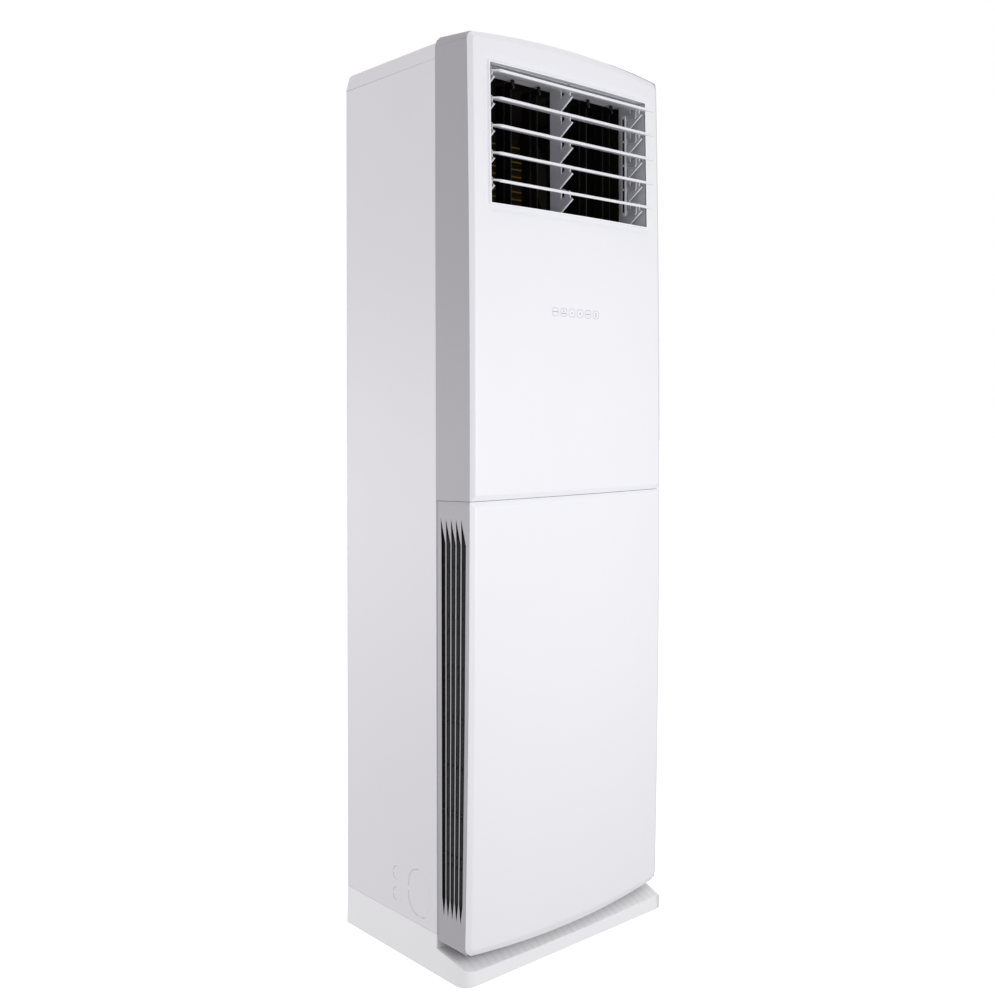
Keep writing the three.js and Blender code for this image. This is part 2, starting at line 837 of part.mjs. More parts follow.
function slotOutline(index) {
  const steps = 2;
  const barShare = slotBarWidth / (frontDepth - cabinetDepth - slotRearMargin - slotFrontMargin);
  const pitch = (1 + barShare) / slotCount;
  const rearShare = index * pitch;
  const frontShare = rearShare + pitch - barShare;
  const points = [];
  for (let i = 0; i <= steps; i += 1) {
    const z = slotTop - (slotTop - slotBottom) * i / steps;
    points.push([grilleDepth(rearShare, z), z]);
  }
  points.push([grilleDepth((rearShare + frontShare) / 2, slotBottomTip), slotBottomTip]);
  for (let i = 0; i <= steps; i += 1) {
    const z = slotBottom + (slotTop - slotBottom) * i / steps;
    points.push([grilleDepth(frontShare, z), z]);
  }
  points.push([grilleDepth(rearShare, slotTopTip) + 2, slotTopTip]);
  return points.reverse();
}

function addIntakeGrille(name, side) {
  const steps = 5;
  const top = panelSeamHeight - panelSeamWidth / 2;
  const points = [[trimRearY, top], [trimRearY, grilleBottom]];
  for (let i = 0; i <= steps; i += 1) {
    const z = grilleBottom + (top - grilleBottom) * i / steps;
    points.push([frontEdge(z) + seatGap, z]);
  }
  const outer = halfWidth - grilleInset;
  const x0 = side < 0 ? -outer : outer - mouldedWall;
  let grille = solidOf(alongX(points, x0, x0 + mouldedWall));
  for (let index = 0; index < slotCount; index += 1) {
    grille = cut(grille, alongX(slotOutline(index), x0 - 1, x0 + mouldedWall + 1));
  }
  const innerFace = side * (outer - mouldedWall);
  const tieX = ordered(innerFace - side * tieSize, innerFace + side * tieSize / 2);
  for (let index = 0; index < tieCount; index += 1) {
    const z = tieTop - index * tiePitch;
    const y0 = frontEdge(z) + slotFrontMargin - 3;
    const y1 = trimRearY - slotRearMargin + 3;
    grille = grille.add(solidOf(block(tieX[0], tieX[1], y0, y1, z, z + tieSize)));
  }
  addPiece(name, greyMoulding, grille);
}

function addLowerFront() {
  const bottom = {
    height: frontBottomHeight, arch: frontBottomArch, radius: panelBottomRadius,
  };
  const top = {
    height: panelSeamHeight - panelSeamWidth / 2, arch: 0, radius: panelSeamRadius,
  };
  addPiece('lower_front_panel', whiteGloss, fascia(bottom, top));
  addIntakeGrille('intake_grille_left', -1);
  addIntakeGrille('intake_grille_right', 1);
}

function addFilter(name, side) {
  const outer = halfWidth - grilleInset - mouldedWall - tieSize - seatGap;
  const y1 = trimRearY - slotRearMargin / 2;
  const y0 = frontEdge(slotBottomTip) + slotFrontMargin / 2;
  const z0 = slotBottomTip - 2 * filterRib;
  const z1 = slotTopTip + filterRib;
  const windowHeight = (z1 - z0 - filterRib) / filterWindows;
  const frameX = ordered(side * outer, side * (outer - filterThickness));
  const windows = [];
  for (let index = 0; index < filterWindows; index += 1) {
    const z = z0 + filterRib + index * windowHeight;
    const windowTop = z + windowHeight - filterRib;
    windows.push([
      [y0 + filterRib, z], [y0 + filterRib, windowTop],
      [y1 - filterRib, windowTop], [y1 - filterRib, z],
    ]);
  }
  const outline = [[y0, z0], [y1, z0], [y1, z1], [y0, z1]];
  const frame = alongX(outline, frameX[0], frameX[1], windows);
  const netX = (frameX[0] + frameX[1] - filterMesh) / 2;
  const net = block(netX, netX + filterMesh, y0 + 1, y1 - 1, z0 + 1, z1 - 1);
  addPiece(name, filterGrey, join(frame, net));
}

// ---------------------------------------------------------------- outlet duct and supports

function addOutletDuct() {
  const behind = fasciaWall + ductFrontGap;
  const inner = ductClearance;
  const outer = ductClearance + mouldedWall;
  const loop = solidOf(outletLoop([
    [inner, behind],
    [outer, behind],
    [outer, ductRear],
    [inner, ductRear],
  ]));
  const rearCut = block(-cabinetWidth, cabinetWidth, -ductRear, cabinetDepth, 0, 2 * outletTop);
  addPiece('outlet_duct', greyDuct, cut(loop, rearCut));
}

function louvrePivotHeight(index) {
  return topLouvrePivotHeight - index * louvrePitch;
}

// One saw tooth of a louvre support, from its root up, with a snap hook for the louvre pin
function toothOutline(pivotZ) {
  const pivotY = -louvrePivotDepth;
  const bore = louvrePinRadius + pinClearance;
  return [
    [-supportFront, pivotZ - toothRoot],
    [-supportFront - toothReach, pivotZ - toothDrop],
    [pivotY - hookRadius + 1.5, pivotZ - hookRadius - 1.5],
    ...arcPoints(pivotY, pivotZ, hookRadius, 225, 180 + hookMouth / 2, 1),
    ...arcPoints(pivotY, pivotZ, bore, 180 + hookMouth / 2, 540 - hookMouth / 2, 6),
    ...arcPoints(pivotY, pivotZ, hookRadius, 180 - hookMouth / 2, 60, 2),
    [-supportFront - 8, pivotZ + toothCrown],
    [-supportFront, pivotZ + toothCrown],
  ];
}

function addLouvreSupport(name, x, wallSide) {
  const bottom = ductBottom + seatGap;
  const top = ductTop - seatGap;
  const outline = [[-supportRear, bottom], [-supportFront, bottom]];
  const holes = [];
  for (let index = louvreCount - 1; index >= 0; index -= 1) {
    const pivotZ = louvrePivotHeight(index);
    outline.push(...toothOutline(pivotZ));
    holes.push([
      [-supportFront - 2.5, pivotZ + 8.5],
      [-supportFront - 8, pivotZ + 8.5],
      [-supportFront - 12, pivotZ + 1],
      [-supportFront - 11.5, pivotZ - 4],
      [-supportFront - 2.5, pivotZ - 11],
    ]);
  }
  outline.push([-supportFront, top], [-supportRear, top]);
  const half = supportThickness / 2;
  const plate = alongX(outline.reverse(), x - half, x + half, holes);
  if (wallSide === 0) {
    addPiece(name, greyDuct, plate);
    return;
  }
  const flangeX = ordered(x, wallSide * (ductHalf - seatGap));
  const flange = block(flangeX[0], flangeX[1], -supportRear - sheet, -supportRear, bottom, top);
  addPiece(name, greyDuct, join(plate, flange));
}

// ---------------------------------------------------------------- louvres

const leverX = supportX - louvreNotchWidth / 2 - leverThickness - seatGap;
const linkX = leverX - seatGap - linkThickness;

// Cross-section of a louvre about its pivot, in (y, z), before it is tilted
function louvreSection() {
  const half = louvreThickness / 2;
  return [
    [louvreRear, -half * 0.6],
    [louvreRear, half * 0.6],
    [-louvreFront + 9, half],
    [-louvreFront + 2, half + 0.3],
    [-louvreFront, 0],
    [-louvreFront + 0.8, half - louvreLip + 0.8],
    [-louvreFront + 3.5, half - louvreLip],
    [-louvreFront + 9, -half],
  ];
}

// A point of the resting louvre in (y, z) about its pivot, turned back into the louvre's
// untilted section
function untilted([y, z]) {
  const tilt = THREE.MathUtils.degToRad(louvreRestTilt);
  return [
    y * Math.cos(tilt) + z * Math.sin(tilt),
    z * Math.cos(tilt) - y * Math.sin(tilt),
  ];
}

// Arm that lies level at rest, hung under the louvre and rounded about the link's pin
function leverOutline() {
  const half = leverWidth / 2;
  const level = [
    [2, -leverDown - half],
    [-1, -leverDown - half + 3],
    [-1, 0.5],
    [6, 0.5],
    [9, -leverDown + half],
    ...arcPoints(leverBack, -leverDown, half, 90, -90, 4),
  ];
  return level.map(untilted);
}

function addLouvre(index) {
  const half = louvreWidth / 2;
  const plan = [
    [half, louvreRear + 1],
    [-half, louvreRear + 1],
    ...arcPoints(-half + louvreCornerRadius, -louvreFront + louvreCornerRadius - 1,
      louvreCornerRadius, 180, 270, 3),
    ...arcPoints(half - louvreCornerRadius, -louvreFront + louvreCornerRadius - 1,
      louvreCornerRadius, 270, 360, 3),
  ];
  const blade = solidOf(alongX(louvreSection().reverse(), -half, half));
  let louvre = blade.intersect(solidOf(alongZ(plan, -20, 20)));
  const notchHalf = louvreNotchWidth / 2;
  for (const x of [-supportX, 0, supportX]) {
    const notch = block(x - notchHalf, x + notchHalf, -louvreNotchDepth, louvreRear + 2, -9, 9);
    const pin = pinAlongX(x - notchHalf - 1, x + notchHalf + 1, 0, 0, louvrePinRadius, 6);
    louvre = cut(louvre, notch).add(solidOf(pin));
  }
  const lever = alongX(leverOutline().reverse(), leverX, leverX + leverThickness);
  const [pinY, pinZ] = untilted([leverBack, -leverDown]);
  const pin = pinAlongX(linkX - 1, leverX + 1, pinY, pinZ, linkPinRadius, 6);
  louvre = louvre.add(solidOf(lever)).add(solidOf(pin));
  const piece = addPiece(`louvre_${index + 1}`, whiteGloss, louvre);
  piece.rotation.x = THREE.MathUtils.degToRad(louvreRestTilt);
  piece.position.set(0, -louvrePivotDepth, louvrePivotHeight(index));
}

// The lever pin of a louvre at rest, in (y, z)
function leverPin(index) {
  return [-louvrePivotDepth + leverBack, louvrePivotHeight(index) - leverDown];
}

function addLouvreLink() {
  const [y, topZ] = leverPin(0);
  const [, bottomZ] = leverPin(louvreCount - 1);
  const half = linkWidth / 2;
  const outline = [
    ...arcPoints(y, bottomZ, half, 180, 360, 4),
    ...arcPoints(y, topZ, half, 0, 180, 4),
  ];
  const holes = [];
  for (let index = 0; index < louvreCount; index += 1) {
    const [pinY, pinZ] = leverPin(index);
    holes.push(circlePoints(pinY, pinZ, linkPinRadius + pinClearance, 8).reverse());
  }
  addPiece('louvre_link', whiteGloss, alongX(outline, linkX, linkX + linkThickness, holes));
}

// ---------------------------------------------------------------- vanes

function vaneX(index) {
  return (index - (vaneCount - 1) / 2) * vanePitch;
}

function addVane(index) {
  const x = vaneX(index);
  const half = vaneThickness / 2;
  const outline = [
    [-vaneFront, vaneBottom],
    [-vaneFront, vaneTop],
    [-vaneRear, vaneTop],
    ...arcPoints(-vaneRear - vaneCornerRadius, vaneBottom + vaneCornerRadius,
      vaneCornerRadius, 0, -90, 3),
  ];
  const blade = alongX(outline.reverse(), x - half, x + half);
  const low = ductBottom - vaneRailThickness;
  const high = ductTop + vaneRailThickness - 1;
  const spindle = pinAlongZ(x, -vanePivotDepth, vanePinRadius, low, high, 6);
  const pinTop = vaneBottom + 4;
  const linkPin = pinAlongZ(x, -vaneLinkDepth, linkPinRadius, vaneLinkZ, pinTop, 6);
  addPiece(`vane_${index + 1}`, blackPlastic, join(blade, spindle, linkPin));
}

function vaneHoles(y, radius) {
  const holes = [];
  for (let index = 0; index < vaneCount; index += 1) {
    holes.push(circlePoints(vaneX(index), y, radius + pinClearance, 8).reverse());
  }
  return holes;
}

function addVaneLink() {
  const half = vaneLinkWidth / 2;
  const end = vaneX(vaneCount - 1);
  const outline = [
    ...arcPoints(end, -vaneLinkDepth, half, -90, 90, 3),
    ...arcPoints(-end, -vaneLinkDepth, half, 90, 270, 3),
  ];
  const holes = vaneHoles(-vaneLinkDepth, linkPinRadius);
  addPiece('vane_link', blackPlastic,
    alongZ(outline, vaneLinkZ, vaneLinkZ + vaneLinkThickness, holes));
}

function addVaneRail(name, z0) {
  const x1 = plenumInner - seatGap;
  const front = -ductRear + seatGap;
  const outline = [[-x1, front], [x1, front], [x1, -vaneRailRear], [-x1, -vaneRailRear]];
  const holes = vaneHoles(-vanePivotDepth, vanePinRadius);
  addPiece(name, blackPlastic, alongZ(outline, z0, z0 + vaneRailThickness, holes));
}

// ---------------------------------------------------------------- plenum and evaporator

function addPlenum() {
  const front = -ductRear + seatGap;
  const top = coverSeamHeight - seatGap - plenumTopThickness;
  addPiece('plenum_left', darkFoam,
    block(-plenumOuter, -plenumInner, front, -plenumRear - seatGap, plenumBottom, top - seatGap));
  addPiece('plenum_right', darkFoam,
    block(plenumInner, plenumOuter, front, -plenumRear - seatGap, plenumBottom, top - seatGap));
  addPiece('plenum_top', darkFoam,
    block(-flangeHalf, flangeHalf, front, -plenumRear - seatGap, top, top + plenumTopThickness));
}

const coilFoot = { depth: cabinetDepth - coilFootSetback, height: plenumBottom - coilFootDrop };
const coilHead = { depth: coilTopDepth, height: coverSeamHeight - coilTopDrop };
const coilWidth = 2 * (plenumInner - coilSideSpace);
const coilRise = coilHead.height - coilFoot.height;
const coilRun = coilFoot.depth - coilHead.depth;
const coilLength = Math.hypot(coilRise, coilRun);
const tubeCount = Math.floor(coilLength / tubePitch);

// Places a piece made about the coil's middle, with its length along z, into the cabinet
function layOnSlope(piece) {
  piece.rotation.x = -Math.atan2(coilRun, coilRise);
  const y = -(coilFoot.depth + coilHead.depth) / 2;
  piece.position.set(0, y, (coilFoot.height + coilHead.height) / 2);
}

function tubeZ(index) {
  return (index - (tubeCount - 1) / 2) * tubePitch;
}

// The pack of fins, with a groove across its front face at each row of tubes
function addEvaporatorCore() {
  const half = coilThickness / 2;
  const end = coilLength / 2;
  const outline = [[-half, -end], [half, -end], [half, end], [-half, end]];
  for (let index = tubeCount - 1; index >= 0; index -= 1) {
    const z = tubeZ(index);
    outline.push([-half, z + tubeRadius], [finGroove - half, z], [-half, z - tubeRadius]);
  }
  const pack = alongX(outline, -coilWidth / 2, coilWidth / 2);
  layOnSlope(addPiece('evaporator_core', aluminium, pack));
}

// End plate of the coil with its copper return bends
function addEvaporatorEnd(name, side) {
  const half = coilThickness / 2;
  const end = coilLength / 2;
  const face = side * (coilWidth / 2 + seatGap);
  const plateX = ordered(face, face + side * endPlateThickness);
  const rimX = ordered(face, side * (plenumInner - seatGap));
  const plate = block(plateX[0], plateX[1], -half, half, -end, end);
  const flange = block(rimX[0], rimX[1], half - endPlateThickness, half, -end, end);
  let piece = join(plate, flange);
  for (let index = 0; index + 1 < tubeCount; index += 2) {
    const middle = (tubeZ(index) + tubeZ(index + 1)) / 2;
    const start = face + side * endPlateThickness / 2;
    const bend = returnBend(start, side, tubePitch / 2, middle);
    piece = piece.add(solidOf(bend));
  }
  layOnSlope(addPiece(name, copper, piece));
}

// A half turn of tube that leaves the end plate, turns and comes back, as a ring of sections
function returnBend(startX, side, radius, middleZ) {
  const steps = 2;
  const sides = 5;
  const straight = 4;
  const rings = [];
  const addRing = (x, z, angle) => {
    const ring = [];
    for (let i = 0; i < sides; i += 1) {
      const turn = 2 * Math.PI * i / sides;
      const out = tubeRadius * Math.cos(turn);
      const y = tubeRadius * Math.sin(turn);
      ring.push(new THREE.Vector3(
        x + side * out * Math.sin(angle), y, z - out * Math.cos(angle),
      ));
    }
    rings.push(side < 0 ? ring : ring.reverse());
  };
  addRing(startX, middleZ - radius, 0);
  for (let i = 0; i <= steps; i += 1) {
    const angle = Math.PI * i / steps;
    const x = startX + side * (straight + radius * Math.sin(angle));
    addRing(x, middleZ - radius * Math.cos(angle), angle);
  }
  addRing(startX, middleZ + radius, Math.PI);
  const first = [new THREE.Vector3(startX, 0, middleZ - radius)];
  const last = [new THREE.Vector3(startX, 0, middleZ + radius)];
  return skin([first, ...rings, last]);
}

function addDripTray() {
  const x1 = flangeHalf;
  const outer = block(-x1, x1, -trayFront, -trayRear, trayBottom, trayTop);
  const hollow = block(-x1 + trayWall, x1 - trayWall, -trayFront + trayWall,
    -trayRear - trayWall, trayBottom + trayWall, trayTop + 1);
  const spigotX = plenumOuter - spigotRadius;
  const spigotY = -(trayFront + trayRear) / 2;
  const spigot = pinAlongZ(spigotX, spigotY, spigotRadius, trayBottom - spigotLength,
    trayBottom + 1, 12);
  const bore = pinAlongZ(spigotX, spigotY, spigotRadius - trayWall,
    trayBottom - spigotLength - 1, trayBottom + trayWall + 1, 12);
  const tray = cut(solidOf(outer), hollow).add(solidOf(spigot));
  addPiece('drip_tray', blackPlastic, cut(tray, bore));
}

// A refrigerant pipe from the coil down the side of the cabinet, with its flare nut
function addPipe(name, { radius, setback, topRise }) {
  const y = setback - cabinetDepth;
  const startX = plenumInner - seatGap - radius;
  const runX = innerHalf - pipeWallGap;
  const bendX = (runX - startX) / 4;
  const bendZ = trayBottom - pipeBendDrop;
  const endZ = baseHeight + pipeEndRise;
  const route = new THREE.CatmullRomCurve3([
    new THREE.Vector3(startX, y, plenumBottom + topRise),
    new THREE.Vector3(startX, y, plenumBottom - 2),
    new THREE.Vector3(startX, y, trayBottom + 10),
    new THREE.Vector3(startX + bendX, y, trayBottom - 10),
    new THREE.Vector3(runX - bendX, y, bendZ + 10),
    new THREE.Vector3(runX, y, bendZ - 12),
    new THREE.Vector3(runX, y, (bendZ + endZ) / 2),
    new THREE.Vector3(runX, y, endZ),
  ], false, 'centripetal');
  const section = shapeFrom(circlePoints(0, 0, radius, 8));
  const tube = new THREE.ExtrudeGeometry(section, { steps: 26, extrudePath: route });
  const nut = pinAlongZ(runX, y, radius + 3, endZ - flareNutLength + 4, endZ + 4, 6);
  addPiece(name, copper, join(tube, nut));
}

// ---------------------------------------------------------------- blower

// Outline of the scroll in (x, z), moved in by a wall thickness, with its mouth upwards
function scrollOutline(inset) {
  const { x, height } = blowerAxis;
  const points = [];
  const steps = 20;
  const startAngle = 60;
  const sweep = 300;
  for (let i = 0; i <= steps; i += 1) {
    const share = i / steps;
    const angle = THREE.MathUtils.degToRad(startAngle + sweep * share);
    const radius = scrollStartRadius + scrollGrowth * share - inset;
    points.push([x + radius * Math.cos(angle), height + radius * Math.sin(angle)]);
  }
  const right = x + scrollStartRadius + scrollGrowth - inset;
  const left = right - scrollMouthWidth + 2 * inset;
  const top = deckHeight - seatGap + (inset > 0 ? 1 : 0);
  points.push([right, top], [left, top]);
  return points;
}

function addScroll() {
  const { x, height } = blowerAxis;
  const body = alongY(scrollOutline(0), -scrollFront, -scrollRear);
  const hollow = alongY(scrollOutline(scrollWall), -scrollFront + scrollWall,
    -scrollRear - scrollWall);
  const inlet = pinAlongY(x, height, impellerInnerRadius + 20, -scrollFront - 1,
    -scrollFront + scrollWall + 1, 24);
  const motorHole = pinAlongY(x, height, motorRadius + 8, -scrollRear - scrollWall - 1,
    -scrollRear + 1, 16);
  addPiece('fan_scroll', whiteMatt, cut(solidOf(body), hollow, inlet, motorHole));
}

// A piece turned about the blower's axis; the profile is [radius, y]
function turnedAboutBlower(profile, sides) {
  const points = profile.map(([radius, y]) => new THREE.Vector2(radius, y));
  const geometry = new THREE.LatheGeometry(points, sides);
  return geometry.translate(blowerAxis.x, 0, blowerAxis.height);
}

const impellerFront = -scrollFront + impellerEndGap;
const impellerBack = -scrollRear - impellerRearGap;

function addBellmouth() {
  const throat = impellerInnerRadius - 4;
  const lip = impellerInnerRadius + bellmouthLip;
  const face = -scrollFront - seatGap;
  const profile = [
    [throat, impellerFront - 2], [throat, face + 4], [throat + 6, face - 5],
    [lip, face - 6], [lip, face], [throat + 8, face], [throat + sheet + 1, impellerFront - 2],
  ];
  profile.push(profile[0]);
  addPiece('inlet_bellmouth', whiteMatt, turnedAboutBlower(profile, 22));
}

function addImpeller() {
  const disc = turnedAboutBlower([
    [shaftRadius + seatGap, impellerBack], [shaftRadius + seatGap, impellerBack - hubLength],
    [hubRadius, impellerBack - hubLength], [hubRadius, impellerBack - 3],
    [impellerRadius, impellerBack - 3], [impellerRadius, impellerBack],
    [shaftRadius + seatGap, impellerBack],
  ], 24);
  const ringBore = impellerInnerRadius + impellerRing;
  const ring = turnedAboutBlower([
    [ringBore, impellerFront], [impellerRadius, impellerFront],
    [impellerRadius, impellerFront + impellerRing], [ringBore, impellerFront + impellerRing],
    [ringBore, impellerFront],
  ], 24);
  let impeller = join(disc, ring);
  for (let index = 0; index < bladeCount; index += 1) {
    const blade = bladeGeometry();
    blade.rotateY(2 * Math.PI * index / bladeCount);
    blade.translate(blowerAxis.x, 0, blowerAxis.height);
    impeller = impeller.add(solidOf(blade));
  }
  addPiece('impeller', blackPlastic, impeller);
}

// One forward-curved blade about the axis, in (x, z), the length of the impeller
function bladeGeometry() {
  const inner = impellerInnerRadius;
  const outer = impellerRadius - 0.5;
  const middle = (inner + outer) / 2;
  const outline = [
    [inner, 0], [middle, -bladeHollow], [outer, 2], [outer, 2 + bladeThickness],
    [middle, bladeThickness - bladeHollow], [inner, bladeThickness],
  ];
  return alongY(outline, impellerFront + 1, impellerBack - 1);
}

function addMotor() {
  const { x, height } = blowerAxis;
  const front = -scrollRear + motorStandOff;
  const rear = front + motorLength;
  const bore = shaftRadius + seatGap;
  const end = motorRadius - motorShoulder;
  const shoulder = motorShoulder - 2;
  addPiece('fan_motor', motorGrey, turnedAboutBlower([
    [bore, front], [end, front], [motorRadius, front + shoulder],
    [motorRadius, rear - shoulder], [end, rear], [bore, rear], [bore, front],
  ], 20));
  const seat = -scrollRear + seatGap;
  const flange = pinAlongY(x, height, motorRadius + bracketFlange, seat, seat + 3, 20);
  const collar = pinAlongY(x, height, motorRadius + 4, seat + 1, front + bracketCollar, 20);
  const hole = pinAlongY(x, height, motorRadius + seatGap, seat - 1, rear, 20);
  addPiece('motor_bracket', zincSteel, cut(join(flange, collar), hole));
  const hubFront = impellerBack - hubLength;
  addPiece('fan_shaft', zincSteel,
    pinAlongY(x, height, shaftRadius, hubFront - shaftNutThickness - 4, rear + 6, 12));
  const nutBack = hubFront - seatGap;
  const nutFront = nutBack - shaftNutThickness;
  const nut = pinAlongY(x, height, shaftRadius + 5, nutFront, nutBack, 6);
  const nutBore = pinAlongY(x, height, bore, nutFront - 1, nutBack + 1, 12);
  addPiece('impeller_nut', zincSteel, cut(solidOf(nut), nutBore));
}

function addDeck() {
  const right = blowerAxis.x + scrollStartRadius + scrollGrowth - scrollWall;
  const left = right - scrollMouthWidth + 2 * scrollWall;
  const x1 = innerHalf;
  const rear = -flangeWidth - seatGap;
  const front = -cabinetDepth + sheet + seatGap;
  const end = x1 - deckRightInset;
  const floor = block(-x1, end, front, rear, deckHeight, deckHeight + deckSheet);
  const rim = block(-x1, end, front, front + deckSheet, deckHeight, deckHeight + deckRim);
  const mouth = block(left, right, -scrollFront + scrollWall, -scrollRear - scrollWall,
    deckHeight - 1, deckHeight + deckSheet + 1);
  addPiece('fan_deck', zincSteel, cut(join(floor, rim), mouth));
}

// ---------------------------------------------------------------- electrics

function addMiddleRail() {
  const rear = -cabinetDepth - seatGap;
  const x1 = halfWidth - mouldedWall - grilleInset - tieSize;
  const bottom = panelSeamHeight - railHeight / 2;
  const outer = block(-x1, x1, rear - railDepth, rear, bottom, bottom + railHeight);
  const hollow = block(-x1 - 1, x1 + 1, rear - railDepth - 1, rear - 2 * sheet,
    bottom + 2 * sheet, bottom + railHeight - 2 * sheet);
  addPiece('middle_rail', zincSteel, cut(solidOf(outer), hollow));
}

function addControlBox() {
  const rear = -cabinetDepth - seatGap;
  const z0 = panelSeamHeight + railHeight / 2 + seatGap;
  const z1 = z0 + controlBoxHeight;
  const x0 = -controlBoxWidth / 2;
  const x1 = controlBoxWidth / 2;
  const front = rear - controlBoxDepth;
  const box = block(x0, x1, front, rear, z0, z1);
  const hollow = block(x0 + sheet, x1 - sheet, front - 1, rear - sheet, z0 + sheet, z1 - sheet);
  addPiece('control_box', zincSteel, cut(solidOf(box), hollow));
  addPiece('control_box_cover', zincSteel,
    block(x0, x1, front - seatGap - sheet, front - seatGap, z0, z1));

  const back = rear - sheet - seatGap;
  const boardFront = back - boardStandOff - boardThickness;
  const boardX = x0 + boardMargin;
  const boardZ = z0 + boardMargin;
  const terminalX = x1 - terminalWidth - terminalGap;
  const board = block(boardX, terminalX - boardMargin,
    boardFront, boardFront + boardThickness, boardZ, z1 - boardMargin);
  const postX = boardX + boardPost.along;
  const postZ = boardZ + boardPost.up;
  const post = block(postX, postX + boardPost.size, boardFront + 1, back,
    postZ, postZ + boardPost.size);
  const relayX = boardX + relay.along;
  const relayZ = boardZ + relay.up;
  const relayCase = block(relayX, relayX + relay.size, boardFront - relay.depth, boardFront + 1,
    relayZ, relayZ + relay.size);
  const chokeCan = pinAlongY(boardX + choke.along, boardZ + choke.up, choke.radius,
    boardFront - choke.depth, boardFront + 1, 10);
  addPiece('control_board', boardGreen, join(board, post, relayCase, chokeCan));

  const terminalZ = boardZ + terminalGap;
  const base = block(terminalX, terminalX + terminalWidth, back - terminalDepth, back,
    terminalZ, terminalZ + terminalHeight);
  const slots = [];
  for (let index = 0; index < terminalCount; index += 1) {
    const z = terminalZ + terminalRib + index * terminalPitch;
    slots.push(block(terminalX + terminalRib, terminalX + terminalWidth - terminalRib,
      back - terminalDepth - 1, back - terminalDepth / 2, z, z + terminalPitch - terminalRib));
  }
  addPiece('terminal_block', blackPlastic, cut(solidOf(base), ...slots));
}

function addTouchBoard() {
  const half = keyBoardWidth / 2;
  const front = frontFace(half, keyHeight) + fasciaWall + seatGap + 0.3;
  const z0 = keyHeight - keyBoardHeight / 2;
  const board = block(-half, half, front, front + boardThickness, z0, z0 + keyBoardHeight);
  const connector = block(half - 30, half - 12, front + 1, front + 9, z0 + 6, z0 + 16);
  addPiece('touch_board', boardGreen, join(board, connector));
}

// Stepper motors that drive the louvre bank and the vanes
function addSteppers() {
  const louvreZ = louvrePivotHeight(2);
  const x0 = ductHalf + mouldedWall + seatGap;
  addPiece('louvre_motor', motorGrey,
    pinAlongX(x0, x0 + stepperLength, -louvrePivotDepth + 12, louvreZ, stepperRadius, 12));
  const z1 = ductBottom - vaneRailThickness - seatGap;
  addPiece('vane_motor', motorGrey,
    pinAlongZ(vaneX(0), -vanePivotDepth, stepperRadius - 2, z1 - stepperLength, z1, 12));
}

// ---------------------------------------------------------------- build

addPlinth();
addBasePan();
addSidePanel('side_panel_left', -1);
addSidePanel('side_panel_right', 1);
addRearPanel();
addTopCover();

addUpperFront();
addSideTrim('upper_trim_left', -1);
addSideTrim('upper_trim_right', 1);
addTopTrim();
addLowerFront();
addFilter('filter_left', -1);
addFilter('filter_right', 1);

addOutletDuct();
addLouvreSupport('louvre_support_left', -supportX, -1);
addLouvreSupport('louvre_support_centre', 0, 0);
addLouvreSupport('louvre_support_right', supportX, 1);
for (let index = 0; index < louvreCount; index += 1) {
  addLouvre(index);
}
addLouvreLink();
for (let index = 0; index < vaneCount; index += 1) {
  addVane(index);
}
addVaneLink();
addVaneRail('vane_rail_lower', ductBottom - vaneRailThickness);
addVaneRail('vane_rail_upper', ductTop);
addPlenum();

addEvaporatorCore();
addEvaporatorEnd('evaporator_end_left', -1);
addEvaporatorEnd('evaporator_end_right', 1);
addDripTray();
addPipe('gas_pipe', gasPipe);
addPipe('liquid_pipe', liquidPipe);

addScroll();
addBellmouth();
addImpeller();
addMotor();
addDeck();
addMiddleRail();
addControlBox();
addTouchBoard();
addSteppers();

airConditioner.updateMatrixWorld(true);
const bounds = new THREE.Box3().setFromObject(airConditioner, true);
const middle = bounds.getCenter(new THREE.Vector3());
airConditioner.position.set(-middle.x, -middle.y, -bounds.min.z);
airConditioner.updateMatrixWorld(true);

export default airConditioner;
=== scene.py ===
# %% [markdown]
# # A floor standing air conditioner, dressed in Blender
# The cabinet is about 1.8 m tall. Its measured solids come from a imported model; this lesson
# adds what the eye wants on top of them: smooth moulded fronts, small edges that catch the
# light, key outlines, a ribbed toe, fins on the coil, and finishes made of nodes.

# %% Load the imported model
import json
import math

import bmesh
import bpy
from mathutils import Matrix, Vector


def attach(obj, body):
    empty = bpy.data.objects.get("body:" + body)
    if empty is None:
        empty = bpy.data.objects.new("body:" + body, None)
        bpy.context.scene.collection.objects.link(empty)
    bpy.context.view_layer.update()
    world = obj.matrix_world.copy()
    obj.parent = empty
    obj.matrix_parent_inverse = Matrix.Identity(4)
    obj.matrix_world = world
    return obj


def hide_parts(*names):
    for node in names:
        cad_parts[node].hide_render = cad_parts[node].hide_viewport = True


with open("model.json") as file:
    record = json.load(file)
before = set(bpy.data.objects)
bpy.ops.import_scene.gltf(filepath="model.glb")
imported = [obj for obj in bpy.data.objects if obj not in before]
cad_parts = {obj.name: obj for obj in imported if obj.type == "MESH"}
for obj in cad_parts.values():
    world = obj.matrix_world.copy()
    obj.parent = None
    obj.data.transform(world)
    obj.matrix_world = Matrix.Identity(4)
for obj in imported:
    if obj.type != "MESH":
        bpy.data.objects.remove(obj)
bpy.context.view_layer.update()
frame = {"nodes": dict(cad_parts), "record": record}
mm = 0.001

# %% [markdown]
# ## Camera
# The picture was taken from the left of the front, 42 degrees round, at about chest height.
# The optical axis is nearly level and the frame is shifted down, which keeps the upright
# edges of the cabinet upright in the picture. Focal length and shift are given in pixels of
# a picture 995 wide and 1000 high, as a fit to the cabinet's corners gives them.

